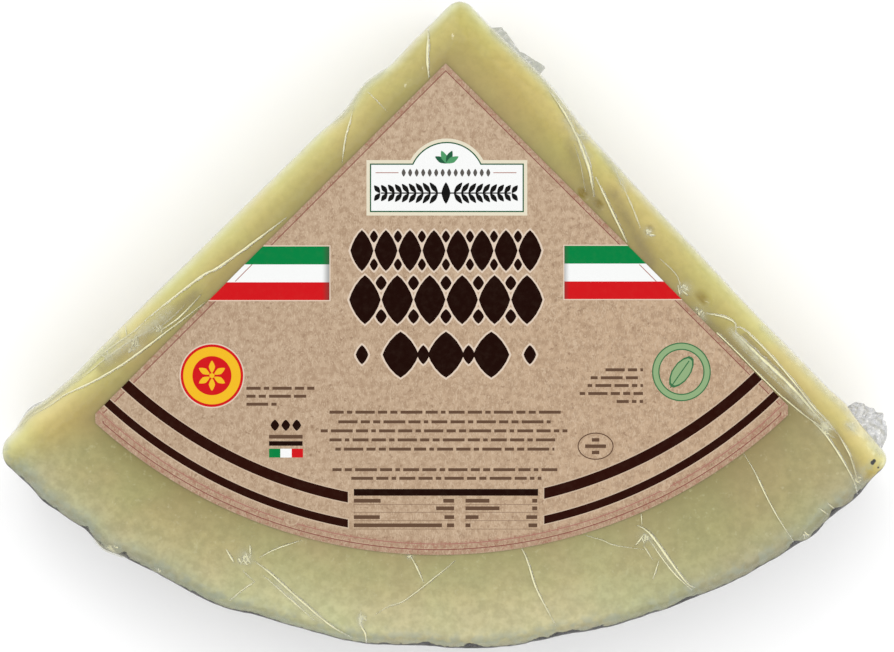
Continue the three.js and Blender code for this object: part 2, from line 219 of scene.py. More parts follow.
def swollen_cut(points, cut):
    along = (points - CUTS_MEET) @ cut.direction
    return points - bump(along, cut.swells)[:, None] * cut.inward


def swollen_rind(points):
    angle = RIND.coordinates(points)[0]
    return points + RIND.swell(angle)[:, None] * RIND.outward(angle)


CORNER_STEPS = 14
CUT_STEPS = 190
RIND_STEPS = 300


def slab_outline(cut_inset, rind_inset):
    """The outline, counter-clockwise from the tip, always with the same number of points."""
    left_heel, right_heel = (heel_centre(cut, cut_inset, rind_inset) for cut in (LEFT, RIGHT))
    left_out, right_out = math.pi - LEFT_CUT_ANGLE, RIGHT_CUT_ANGLE
    left_end, right_end = (
        math.radians(270 + RIND.coordinates(heel)[0]) for heel in (left_heel, right_heel)
    )
    tip_arc = on_arc(tip_centre(cut_inset), TIP_RADIUS, right_out, left_out, CORNER_STEPS)
    left_arc = on_arc(left_heel, LEFT_HEEL_RADIUS, left_out, left_end, CORNER_STEPS)
    rind_arc = on_arc(WHEEL_CENTRE, WHEEL_RADIUS - rind_inset, left_end, right_end, RIND_STEPS)
    right_arc = on_arc(
        right_heel, RIGHT_HEEL_RADIUS, right_end, right_out + 2 * math.pi, CORNER_STEPS,
    )
    left_arc, right_arc = swollen_rind(left_arc), swollen_rind(right_arc)
    return np.vstack([
        tip_arc,
        swollen_cut(between(tip_arc[-1], left_arc[0], CUT_STEPS), LEFT),
        swollen_cut(left_arc, LEFT),
        swollen_rind(rind_arc[1:-1]),
        swollen_cut(right_arc, RIGHT),
        swollen_cut(between(right_arc[-1], tip_arc[0], CUT_STEPS), RIGHT),
    ])


def label_side(side):
    """The way down a straight side of the label, from its apex, and the way out across it."""
    sine, cosine = math.sin(LABEL_HALF_ANGLE), math.cos(LABEL_HALF_ANGLE)
    return np.array([side * sine, -cosine]), np.array([side * cosine, sine])


def label_outline(margin=0.0):
    """The label's outline, grown by a margin, counter-clockwise from its apex."""
    radius = LABEL_ARC_RADIUS + margin
    apex = LABEL_APEX + np.array([0, margin / math.sin(LABEL_HALF_ANGLE)])
    ends = []
    for side in (-1, 1):
        down, _ = label_side(side)
        point = apex + distance_to_circle(apex, down, LABEL_ARC_CENTRE, radius) * down
        offset = point - LABEL_ARC_CENTRE
        angle = math.atan2(offset[1], offset[0]) - side * LABEL_CORNER_CUT / radius
        ends.append((point - LABEL_CORNER_CUT * down, angle))
    arc = on_arc(LABEL_ARC_CENTRE, radius, ends[0][1], ends[1][1], LABEL_ARC_STEPS)
    return np.vstack([apex, ends[0][0], arc, ends[1][0]])


def outside_label(plan):
    """How far a place is outside the label, negative inside it."""
    beside = [(plan - LABEL_APEX) @ label_side(side)[1] for side in (-1, 1)]
    below = np.linalg.norm(plan - LABEL_ARC_CENTRE, axis=-1) - LABEL_ARC_RADIUS
    out = np.stack([*beside, below], -1)
    return np.where(out.max(-1) < 0, out.max(-1), np.linalg.norm(np.maximum(out, 0), axis=-1))


# ---- making meshes


def in_frame(points):
    """Points of the drawing as metres in the frame, kept in the CAD box."""
    shift = np.array([*ORIGIN, 0])
    return np.clip((np.array(points, float) - shift) * MM, cad_box[0], cad_box[1])


def make_piece(name, vertices, faces, materials, values=None, face_materials=None):
    """A mesh object from millimetres in the drawing, riding on the slab.

    It is smooth and may have values at its points, or has flat faces with a material each.
    """
    mesh = bpy.data.meshes.new(name)
    mesh.from_pydata(in_frame(vertices).tolist(), [], [list(map(int, face)) for face in faces])
    for material in materials:
        mesh.materials.append(material)
    if face_materials is not None:
        mesh.polygons.foreach_set("material_index", np.array(face_materials, np.int32))
    mesh.polygons.foreach_set("use_smooth", [face_materials is None] * len(mesh.polygons))
    for key, value in (values or {}).items():
        attribute = mesh.attributes.new(key, "FLOAT", "POINT")
        attribute.data.foreach_set("value", np.asarray(value, np.float32))
    mesh.update()
    piece = bpy.data.objects.new(name, mesh)
    bpy.context.scene.collection.objects.link(piece)
    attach(piece, "root")
    return piece


def move_points(piece, points, push):
    """Pushes a piece's points, in millimetres of the drawing, along the way that they face."""
    normals = np.empty(len(points) * 3, np.float32)
    piece.data.vertex_normals.foreach_get("vector", normals)
    moved = in_frame(points + push[:, None] * normals.reshape(-1, 3))
    piece.data.vertices.foreach_set("co", moved.astype(np.float32).ravel())
    piece.data.update()


def skin_faces(ring_count, around):
    """The faces of rings of points, joined upwards, with one face over each end."""
    level, i = np.meshgrid(np.arange(ring_count - 1), np.arange(around), indexing="ij")
    here = level * around + i
    following = level * around + (i + 1) % around
    sides = np.stack([here, following, following + around, here + around], -1).reshape(-1, 4)
    last = (ring_count - 1) * around
    return [*sides.tolist(), list(range(around))[::-1], list(range(last, last + around))]


def noise_at(points, size, seed):
    """Smooth noise from -1 to 1 at points in millimetres."""
    offset = Vector((seed * 17.3, seed * 5.1, seed * 9.7))
    return np.array([noise.noise(Vector(p) / size + offset) for p in points.tolist()])


# How far in the rings go on the two flat faces, before one face closes the middle
CAP_INSET = {"cut": 24.0, "rind": 42.0}


def slab_rings(gap, base_rings, wall_rings, edge_rings, top_rings):
    """Rings of the slab's skin, drawn in by a gap, upwards from its underside."""
    rings = []

    def ring(height, cut_inset, rind_inset):
        plan = slab_outline(cut_inset + gap, rind_inset + gap)
        rings.append(np.column_stack([plan, np.full(len(plan), height)]))

    def flat(height, edge, share):
        ring(height, *(edge[kind] + share * (CAP_INSET[kind] - edge[kind]) for kind in CAP_INSET))

    def rounded(height, edge, turn):
        ring(height, *(edge[kind] * (1 - math.cos(turn)) for kind in CAP_INSET))

    for share in np.linspace(1, 0, base_rings, endpoint=False):
        flat(gap, BASE_EDGE, share)
    for turn in np.linspace(np.pi / 2, 0, edge_rings // 2):
        rounded(gap + (BASE_EDGE["depth"] - gap) * (1 - math.sin(turn)), BASE_EDGE, turn)
    for share in np.linspace(0, 1, wall_rings + 2)[1:-1]:
        hollow = WALL_HOLLOW * math.sin(math.pi * share)
        ring(BASE_EDGE["depth"] + share * (WALL_TOP - BASE_EDGE["depth"]), hollow, hollow)
    for turn in np.linspace(0, np.pi / 2, edge_rings):
        rounded(WALL_TOP + (TOP_EDGE["depth"] - gap) * math.sin(turn), TOP_EDGE, turn)
    for share in np.linspace(0, 1, top_rings + 1)[1:]:
        flat(SLAB_HEIGHT - gap, TOP_EDGE, share)
    return rings


def spot_on_film(side, along, inset):
    """Places on the film and the ways that it faces there, for arrays of along and inset."""
    along, inset = np.asarray(along, float), np.asarray(inset, float)
    outward = side.outward(along)
    on_top = np.maximum(inset, 0)
    plan = side.edge(along) - on_top[..., None] * outward
    width = TOP_EDGE[side.edge_kind]
    turn = np.arccos(np.clip(1 - on_top / width, 0, 1))
    height = SLAB_HEIGHT - TOP_EDGE["depth"] * (1 - np.sin(turn)) + np.minimum(inset, 0)
    flat = outward * (np.cos(turn) / width)[..., None]
    facing = np.concatenate([flat, (np.sin(turn) / TOP_EDGE["depth"])[..., None]], -1)
    facing /= np.linalg.norm(facing, axis=-1, keepdims=True)
    return np.concatenate([plan, height[..., None]], -1), facing


def smooth_path(path, spacing):
    """Points along a smooth curve through a path of [along, inset], and their shares of it."""
    knots = np.array(path, float)
    if len(knots) == 2:
        knots = np.vstack([knots[0], knots.mean(0), knots[1]])
    padded = np.vstack([2 * knots[0] - knots[1], knots, 2 * knots[-1] - knots[-2]])
    points = []
    for k in range(len(knots) - 1):
        a, b, c, d = padded[k : k + 4]
        steps = max(2, int(np.linalg.norm(c - b) / spacing))
        t = np.linspace(0, 1, steps, endpoint=False)[:, None]
        points.append(0.5 * (2 * b + (c - a) * t + (2 * a - 5 * b + 4 * c - d) * t**2
                             + (3 * b - a - 3 * c + d) * t**3))
    points.append(knots[-1:])
    points = np.vstack(points)
    return points, np.linspace(0, 1, len(points))


# ---- materials


def srgb(red, green, blue):
    """A colour seen as these sRGB levels, as linear light."""
    levels = np.array([red, green, blue]) / 255
    linear = np.where(levels <= 0.04045, levels / 12.92, ((levels + 0.055) / 1.055) ** 2.4)
    return (*linear.tolist(), 1.0)


class Graph:
    """A material's nodes, added one at a time."""

    def __init__(self, name):
        self.material = bpy.data.materials.new(name)
        self.material.use_nodes = True
        self.tree = self.material.node_tree
        self.tree.nodes.clear()
        self.output = self.tree.nodes.new("ShaderNodeOutputMaterial")
        self.place = self.add("ShaderNodeTexCoord").outputs["Object"]

    def put(self, socket, value):
        if isinstance(value, bpy.types.NodeSocket):
            self.tree.links.new(value, socket)
        else:
            socket.default_value = value

    def add(self, kind, inputs=None, **settings):
        node = self.tree.nodes.new(kind)
        for key, value in settings.items():
            setattr(node, key, value)
        for key, value in (inputs or {}).items():
            self.put(node.inputs[key], value)
        return node

    def math(self, operation, *values, clamp=False):
        settings = {"operation": operation, "use_clamp": clamp}
        return self.add("ShaderNodeMath", dict(enumerate(values)), **settings).outputs[0]

    def product(self, first, *factors):
        for factor in factors:
            first = self.math("MULTIPLY", first, factor)
        return first

    def mix(self, share, a, b, blend="MIX"):
        """Two colours, by the share of the second. The sockets are numbered for colours."""
        settings = {"data_type": "RGBA", "blend_type": blend, "clamp_factor": True}
        return self.add("ShaderNodeMix", {0: share, 6: a, 7: b}, **settings).outputs[2]

    def layered(self, base, *layers):
        """A colour with others laid over it, each with its own share."""
        for share, colour in layers:
            base = self.mix(share, base, colour)
        return base

    def step(self, value, low, high, to_low=0.0, to_high=1.0):
        """A smooth change from one level to another as a value goes from low to high."""
        inputs = {"Value": value, "From Min": low, "From Max": high, "To Min": to_low, "To Max": to_high}
        return self.add("ShaderNodeMapRange", inputs, interpolation_type="SMOOTHSTEP").outputs["Result"]

    def noise(self, size, detail=2.0, roughness=0.5, place=None, distortion=0.0):
        """Noise from 0 to 1 with spots of about this size in millimetres."""
        inputs = {"Vector": place or self.place, "Scale": 1 / (size * MM), "Detail": detail,
                  "Roughness": roughness, "Distortion": distortion}
        return self.add("ShaderNodeTexNoise", inputs).outputs["Fac"]

    def scaled(self, factors):
        inputs = {0: self.place, 1: factors}
        return self.add("ShaderNodeVectorMath", inputs, operation="MULTIPLY").outputs[0]

    def across(self):
        """Where a place is from left to right, in metres of the frame."""
        return self.add("ShaderNodeSeparateXYZ", {0: self.place}).outputs["X"]

    def distance(self, point):
        """How far it is to a point of the drawing in plan, in millimetres."""
        target = (point[0] - ORIGIN[0], point[1] - ORIGIN[1], 0)
        inputs = {0: self.scaled((1 / MM, 1 / MM, 0)), 1: target}
        return self.add("ShaderNodeVectorMath", inputs, operation="DISTANCE").outputs["Value"]

    def attribute(self, name):
        return self.add("ShaderNodeAttribute", attribute_name=name).outputs["Fac"]

    def ramp(self, value, stops, gain):
        """Colours that show at distances in millimetres, blended in between, times a gain."""
        def brightened(colour):
            return (*(gain * level for level in under_film(*colour)[:3]), 1.0)

        reach = stops[-1][0]
        node = self.add("ShaderNodeValToRGB", {0: self.math("DIVIDE", value, reach)})
        elements = node.color_ramp.elements
        for element, (distance, colour) in ((elements[0], stops[0]), (elements[1], stops[-1])):
            element.position, element.color = distance / reach, brightened(colour)
        for distance, colour in stops[1:-1]:
            elements.new(distance / reach).color = brightened(colour)
        return node.outputs["Color"]

    def bumped(self, height, depth):
        inputs = {"Height": height, "Distance": depth * MM, "Strength": 1.0}
        return self.add("ShaderNodeBump", inputs).outputs["Normal"]

    def principled(self, **inputs):
        named = {key.replace("_", " "): value for key, value in inputs.items()}
        return self.add("ShaderNodeBsdfPrincipled", named).outputs[0]

    def blend(self, share, a, b):
        return self.add("ShaderNodeMixShader", {0: share, 1: a, 2: b}).outputs[0]

    def finish(self, shader):
        self.tree.links.new(shader, self.output.inputs["Surface"])
        return self.material


LIGHT_LEVEL = 1.37  # a white surface under these lights is this much brighter than its colour
FILM_SHEEN = 0.045  # how much light the film mirrors towards the camera
FILM_CLARITY = 0.92  # the share of light that passes the film both ways
FILM_RIPPLE = 0.14  # how deep the film's small ripples are, in millimetres
EDGE_GLOSS = 0.1  # the share of its gloss that the film keeps over the rind's top edge


def seen(red, green, blue):
    """The colour of a surface that shows as these sRGB levels under the scene's lights."""
    linear = np.array(srgb(red, green, blue)[:3]) / LIGHT_LEVEL
    return (*np.minimum(linear, 0.95).tolist(), 1.0)


def under_film(red, green, blue):
    """The colour of what lies under the film and shows as these sRGB levels."""
    linear = (np.array(srgb(red, green, blue)[:3]) - FILM_SHEEN) / (LIGHT_LEVEL * FILM_CLARITY)
    return (*np.clip(linear, 0, 0.95).tolist(), 1.0)


# How the paste shows at distances in millimetres from a cut, and from the rind in the middle of
# its arc and towards its ends. Its grain and lumps take back the gain that each kind has.
CUT_GAIN = 1.05
RIND_GAIN = 1.16
# Towards a cut's edge the paste is painted lighter: partly its own tone, partly painted highlight where the
# rounded edge catches the light.
CUT_COLOURS = [
    (0.3, (226, 222, 186)), (0.9, (224, 218, 170)), (1.5, (220, 212, 156)), (2.5, (213, 201, 133)),
    (4, (204, 189, 118)), (6, (193, 178, 107)), (9, (185, 170, 106)), (15, (186, 171, 113)),
]
RIND_MIDDLE = [
    (0.3, (162, 160, 136)), (0.8, (170, 169, 145)), (1.4, (179, 178, 148)), (2.5, (190, 187, 150)),
    (4, (203, 200, 158)), (9, (202, 197, 154)), (14, (193, 188, 142)),
]
RIND_SIDES = [
    (0.3, (150, 150, 130)), (0.8, (157, 158, 138)), (1.4, (163, 164, 142)), (2.5, (172, 172, 146)),
    (4, (184, 184, 149)), (6, (188, 184, 143)), (9, (186, 180, 134)), (14, (184, 176, 127)),
]


def paste_material():
    g = Graph("paste")
    across = g.across()
    to_side = g.step(g.math("ABSOLUTE", across), 0.03, 0.075)
    grain, lumps, clouds = g.noise(1.7, 3, 0.55), g.noise(4.5), g.noise(17)
    contact_shadow, painted_highlight = g.attribute("contact_shadow"), g.attribute("painted_highlight")

    # Granular paste, inside the rind
    from_rind = g.attribute("from_rind")
    middle, ends = (g.ramp(from_rind, stops, RIND_GAIN) for stops in (RIND_MIDDLE, RIND_SIDES))
    granular = g.mix(to_side, middle, ends)
    granular = g.mix(g.step(grain, 0.3, 0.7), granular, (0.8, 0.8, 0.76, 1), "MULTIPLY")
    granular = g.mix(g.step(lumps, 0.35, 0.68, 0.6, 0), granular, (0.84, 0.86, 0.87, 1), "MULTIPLY")
    granular = g.layered(
        granular,
        # painted shade beside the label, and a darker painted contact shadow at its edge towards the ends
        # of the arc
        (g.attribute("shade"), under_film(154, 141, 95)),
        (g.product(contact_shadow, to_side, 0.8), under_film(138, 126, 76)),
        (g.step(across, 0.025, 0.06, 0, 0.28), under_film(154, 143, 105)),
        (g.step(g.noise(1.3), 0.6, 0.8, 0, 0.27), under_film(214, 210, 172)),
    )

    # Even, yellower paste beside the cuts
    even = g.ramp(g.attribute("from_cut"), CUT_COLOURS, CUT_GAIN)
    even = g.mix(g.step(grain, 0.35, 0.7, 0, 0.9), even, (0.9, 0.9, 0.88, 1), "MULTIPLY")
    even = g.mix(g.step(lumps, 0.4, 0.7), even, (1.05, 1.06, 1.08, 1), "MULTIPLY")
    highlight_speckle, on_right = g.step(g.noise(2.2, 3, 0.6), 0.42, 0.62), g.step(across, -0.02, 0.02)
    even = g.layered(
        even,
        # painted contact shadow beside the label
        (g.product(contact_shadow, 0.85), under_film(152, 138, 92)),
        # painted highlight along the cuts, and painted glints speckled over its brightest part on the right
        (painted_highlight, under_film(240, 230, 160)),
        (g.product(g.step(painted_highlight, 0.5, 0.8, 0, 0.8), highlight_speckle, on_right), under_film(254, 249, 196)),
        # painted sheen of the film, pale along the very edge of the cuts
        (g.attribute("pale"), under_film(242, 242, 216)),
    )

    colour = g.mix(g.attribute("smooth"), granular, even)
    tint = g.mix(g.step(clouds, 0.3, 0.7), (1.03, 0.98, 0.97, 1), (0.97, 1.02, 0.96, 1))
    colour = g.mix(1.0, colour, tint, "MULTIPLY")
    haze = g.product(g.attribute("haze"), g.step(g.noise(3, 3, 0.6), 0.42, 0.62))
    colour = g.mix(haze, colour, under_film(168, 175, 157))
    colour = g.mix(g.attribute("eye"), colour, under_film(150, 130, 26))

    # The black coating of the rind, with a ragged edge
    uneven = g.math("SUBTRACT", g.noise(1.6, 4, 0.6), 0.5)
    coated = g.step(g.math("MULTIPLY_ADD", uneven, 1.5, g.attribute("rind")), -0.1, 0.1)
    for spot, radius in COATING_SPECKS:
        coated = g.math("MAXIMUM", coated, g.step(g.distance(spot), radius * 0.7, radius, 1.0, 0.0))
    crust = g.mix(g.step(g.noise(2.2, 4, 0.65), 0.35, 0.7), seen(26, 24, 22), seen(56, 52, 47))
    crust = g.mix(g.step(g.noise(0.8), 0.66, 0.8, 0, 0.5), crust, seen(120, 116, 104))

    height = g.math("MULTIPLY_ADD", g.product(coated, g.noise(3, 4, 0.6)), 2.0, grain)
    shader = g.principled(
        Base_Color=g.mix(coated, colour, crust), Roughness=g.step(coated, 0, 1, 0.62, 0.5),
        Normal=g.bumped(height, 0.07), Specular_IOR_Level=0.1,
        Coat_Weight=g.step(g.attribute("edge"), 0, 1, 1.0, EDGE_GLOSS), Coat_Roughness=0.1,
        Coat_IOR=1.5, Coat_Normal=g.bumped(g.noise(3), FILM_RIPPLE),
    )
    return g.finish(shader)


def clear_film(name, white_and_highlight_colour, white_and_highlight, gloss, ripple, least=0.04):
    """Clear film: a sheen over what lies behind, whitened and painted with highlights, or painted with
    shade, where it has creased.

    Where the film lies tight, the paste's coat carries its sheen, and its own has no least share.
    """
    g = Graph(name)
    normal = g.bumped(g.noise(ripple), FILM_RIPPLE)
    facing = g.add("ShaderNodeLayerWeight", {"Blend": 0.5, "Normal": normal}).outputs["Facing"]
    mirrored = g.math("MULTIPLY_ADD", g.math("POWER", facing, 5.0), 0.96, least)
    sheen = g.principled(Base_Color=(1, 1, 1, 1), Metallic=1.0, Roughness=0.09, Normal=normal)
    clear = g.add("ShaderNodeBsdfTransparent").outputs[0]
    glossy = g.step(g.attribute("edge"), 0, 1, gloss, EDGE_GLOSS * gloss)
    film = g.blend(g.math("MULTIPLY", mirrored, glossy, clamp=True), clear, sheen)
    broken = g.noise(ripple * 0.7, 4, 0.6)
    # painted shade: dark olive beside folds, where the film has creased
    painted_shade_shader = g.principled(Base_Color=seen(166, 150, 110), Roughness=0.4, Normal=normal)
    painted_shade_share = g.product(g.attribute("painted_crease_shade"), g.step(broken, 0.3, 0.66, 0.6, 1.0))
    film = g.blend(painted_shade_share, film, painted_shade_shader)
    # whitened film, partly a painted highlight on creases and in patches along the cuts
    cloudy_and_lit = g.principled(Base_Color=white_and_highlight_colour, Roughness=0.22, Normal=normal)
    whitened_and_lit = g.product(g.step(broken, 0.3, 0.66, white_and_highlight, 1.0), g.attribute("white_and_highlight"))
    return g.finish(g.blend(whitened_and_lit, film, cloudy_and_lit))


# ---- the cheese

# Black specks of coating on the cut face, at the right heel
COATING_SPECKS = [((102.2, -33.2), 0.62), ((102.6, -32.8), 0.55), ((103.7, -34.4), 0.3)]

# How far the black coating reaches in over the top edge, and where more of it shows: the angle
# along the rind, how much farther, and over what spread
COATING_REACH = 0.6
COATING_PATCHES = [
    (-42.6, 0.42, 0.5), (-39.6, 0.42, 0.7), (-35.3, 1.12, 0.3), (-33.4, 0.7, 0.6), (-31.2, 1.54, 0.35),
    (-23.6, 0.42, 0.7), (-18.3, 0.56, 0.4), (-6.0, 0.42, 0.5), (-2.1, 0.98, 0.8), (2.0, 1.12, 0.8),
    (8.2, 0.7, 0.7), (9.9, 0.98, 0.6), (11.2, 0.98, 0.6), (13.6, 0.7, 0.8), (18.6, 0.42, 0.8),
    (22.0, 0.7, 1.0), (33.3, 1.26, 0.5), (35.4, 0.7, 0.6), (38.0, 1.4, 0.6), (40.6, 0.98, 0.5),
]

# Small holes in the paste: the side, along, inset, half length, half width and depth
EYES = [
    (RIGHT, 92.8, 7.2, 1.9, 0.85, 1.0),
    (RIGHT, 55.0, 10.9, 1.4, 0.9, 0.8),
    (RIGHT, 59.4, 9.9, 1.2, 0.8, 0.7),
    (RIGHT, 72.0, 5.0, 0.9, 0.5, 0.5),
]

# Painted highlights along the cuts, where the rounded edge and the film's sheen catch the light: the side,
# how bright, where along it that starts and is full, the inset of its middle, and its spread
PAINTED_HIGHLIGHTS = [
    (RIGHT, 0.5, 80, 108, 0.8, 2.6), (RIGHT, 0.3, 102, 112, 0.9, 1.3), (RIGHT, 0.6, 134, 144, 1.2, 2.6),
    (LEFT, 0.45, 20, 50, 1.6, 2.4), (LEFT, 0.3, 100, 116, 2.5, 2.6),
]

# Painted shade beside the label: how strong each painted darkening of the paste is, and over how far it
# fades
LABEL_SHADES = {"shade": (0.75, 9), "contact_shadow": (0.95, 3.5)}
HAZE = (0.6, 2.2, 2.0)  # inside the rind: the strength, the inset of its middle, and its spread
EDGE_SPREAD = 1.7  # how far in the rind's top edge loses gloss
PAINTED_SHEEN_SPREAD = {"left": 1.9, "right": 1.7}  # how far in the painted sheen of the film reaches along the cuts
SMOOTH_ON_WALL = 0.55  # how even the paste is on the walls
LEAST_GAP = 0.06  # the cheese never comes nearer to the film than this


def smooth_share(plan):
    """1 in the smooth, yellower bands beside the cuts, and 0 where the paste is granular."""
    left_line = -25.3 + 0.306 * (plan[:, 0] + 83.8)
    left_band = smoothstep(-5.5, 4.5, plan[:, 1] - left_line)
    along, inset = RIGHT.coordinates(plan)
    limit = np.interp(along, [0, 114, 124, 150], [60, 30, 7.6, 7.4])
    right_band = 1 - smoothstep(-2.5, 3.0, inset - limit)
    return np.where(plan[:, 0] < 0, left_band, right_band)


def make_cheese():
    rings = slab_rings(FILM_GAP, base_rings=8, wall_rings=30, edge_rings=14, top_rings=56)
    points = np.vstack(rings)
    plan, height = points[:, :2].copy(), points[:, 2]
    left_along, left_in = LEFT.coordinates(plan)
    right_along, right_in = RIGHT.coordinates(plan)
    angle, rind_in = RIND.coordinates(plan)
    cut_in = np.minimum(left_in, right_in)
    on_top = smoothstep(WALL_TOP, WALL_TOP + 2.5, height)
    on_wall = 1 - smoothstep(WALL_TOP - 6, WALL_TOP - 1, height)
    beyond_label = np.maximum(outside_label(plan), 0)

    reach = COATING_REACH + bump(angle, COATING_PATCHES)
    rind = np.minimum(reach - rind_in, 0.9 * (cut_in - rind_in) + 0.4)
    # painted highlights along the cuts
    painted_highlight = np.zeros(len(points))
    for side, strength, start, full, middle, spread in PAINTED_HIGHLIGHTS:
        along, inset = side.coordinates(plan)
        painted_highlight += strength * smoothstep(start, full, along) * np.exp(-(((inset - middle) / spread) ** 2))
    # painted sheen of the film along the cuts' very edge
    painted_sheen_left = 0.35 + 0.4 * smoothstep(112, 130, left_along)
    painted_sheen_left *= np.exp(-((left_in / PAINTED_SHEEN_SPREAD["left"]) ** 2))
    painted_sheen_right = 0.45 * smoothstep(100, 118, right_along)
    painted_sheen_right *= np.exp(-((right_in / PAINTED_SHEEN_SPREAD["right"]) ** 2))

    push = 0.07 * noise_at(points, 2.6, 1) + 0.1 * noise_at(points, 9, 2)
    push += smoothstep(0, 0.5, rind) * (0.22 * noise_at(points, 4, 3) + 0.12 * noise_at(points, 1.7, 4))
    eye = np.zeros(len(points))
    for side, along, inset, length, width, depth in EYES:
        at_along, at_inset = side.coordinates(plan)
        spread = ((at_along - along) / length) ** 2 + ((at_inset - inset) / width) ** 2
        hole = np.exp(-(spread**1.5)) * on_top
        eye = np.maximum(eye, hole)
        push -= depth * hole

    values = {
        "rind": rind,
        "smooth": smooth_share(plan) * on_top + SMOOTH_ON_WALL * (1 - on_top),
        "haze": HAZE[0] * np.exp(-(((rind_in - HAZE[1]) / HAZE[2]) ** 2)) * on_top,
        "edge": np.exp(-((rind_in / EDGE_SPREAD) ** 2)) * on_top,
        "pale": np.maximum(painted_sheen_left, painted_sheen_right) * on_top,
        "painted_highlight": painted_highlight * (1 - on_wall),
        "eye": eye,
        "from_cut": np.maximum(cut_in, 0) + 5 * on_wall,
        "from_rind": np.maximum(rind_in, 0) + 6 * on_wall,
    }
    # painted shade and painted contact shadow beside the label
    for name, (strength, fade) in LABEL_SHADES.items():
        values[name] = strength * np.exp(-beyond_label / fade) * on_top
    faces = skin_faces(len(rings), len(rings[0]))
    cheese = make_piece("cheese", points, faces, [paste_material()], values)
    move_points(cheese, points, np.minimum(push, FILM_GAP - LEAST_GAP))
    return cheese


# ---- the film and its folds

# Creases in the film, whitened and partly painted with a highlight: a path of [along, inset], its width,
# and how bright it shows
LEFT_CREASES = [
    ([(11.6, 0.7), (13.7, 2.8), (16.8, 5.7), (19.9, 9.2)], 0.75, 1.0),
    ([(37.6, 1.4), (43.1, 4.6), (48.8, 9.4)], 0.4, 0.8),
    ([(32.5, 2.1), (32.6, 9.0)], 0.22, 0.35),
    ([(67.3, 9.4), (77.1, 8.1), (87.2, 6.5), (92.1, 5.1), (106.8, 3.4), (109.2, 3.4)], 0.62, 1.0),
    ([(109.2, 3.4), (113.6, 3.1), (121.0, 1.8), (128.3, 1.5)], 0.5, 0.9),
    ([(113.2, 0.7), (114.4, 2.8)], 0.32, 0.9),
    ([(120.2, 0.3), (121.0, 1.8)], 0.32, 0.8),
    ([(95.3, 10.3), (106.5, 8.9), (120.6, 6.8), (133.0, 2.9), (137.0, 2.1), (147.7, 1.3)], 0.5, 0.95),
    ([(94.6, 8.3), (102.2, 8.5), (107.5, 7.7)], 0.45, 0.9),
    ([(107.6, 6.2), (114.2, 4.4), (119.0, 3.5), (131.3, 1.8)], 0.4, 0.8),
    ([(99.0, 7.4), (105.0, 7.2), (110.5, 6.2)], 0.28, 0.5),
    ([(130.0, 1.5), (138.0, 0.9), (148.5, 0.7)], 0.4, 0.8),
]
RIGHT_CREASES = [
    ([(78.9, 8.2), (84.8, 8.1), (89.0, 10.4)], 0.22, 0.5),
    ([(31.5, 1.2), (37.9, 1.7), (43.4, 2.8), (48.0, 4.3), (52.3, 6.2), (57.6, 9.6)], 0.95, 1.0),
    ([(38.6, 0.9), (46.0, 1.2), (50.4, 0.9)], 0.3, 0.6),
    ([(45.0, 4.6), (50.4, 7.2), (55.4, 10.4)], 0.25, 0.5),
    ([(54.3, 6.1), (60.2, 7.9), (65.0, 9.4), (72.0, 11.6)], 0.55, 0.95),
    ([(55.8, 0.9), (60.1, 3.0)], 0.3, 0.6),
    ([(59.6, 2.4), (67.0, 5.1), (70.6, 6.6)], 0.32, 0.7),
    ([(86.5, 9.4), (89.0, 10.9)], 0.4, 0.8),
    ([(89.5, 11.2), (93.4, 11.2), (104.5, 10.1), (119.6, 10.0), (125.3, 9.6), (136.4, 8.3), (138.9, 7.4)],
     0.5, 0.95),
    ([(96.0, 9.1), (99.7, 6.4), (102.4, 5.6), (104.2, 6.9)], 0.42, 0.8),
    ([(104.0, 7.0), (112.0, 6.9), (120.0, 6.6), (128.0, 6.8), (134.2, 7.5)], 1.0, 1.0),
    ([(103.1, 6.3), (105.3, 5.0), (113.5, 4.8), (124.0, 5.6), (134.5, 6.6), (138.5, 6.4)], 0.55, 0.95),
    ([(108.0, 8.6), (118.0, 8.3), (128.0, 8.0)], 0.3, 0.35),
    ([(131.4, 9.0), (140.8, 9.0), (146.0, 9.8)], 0.42, 0.85),
]
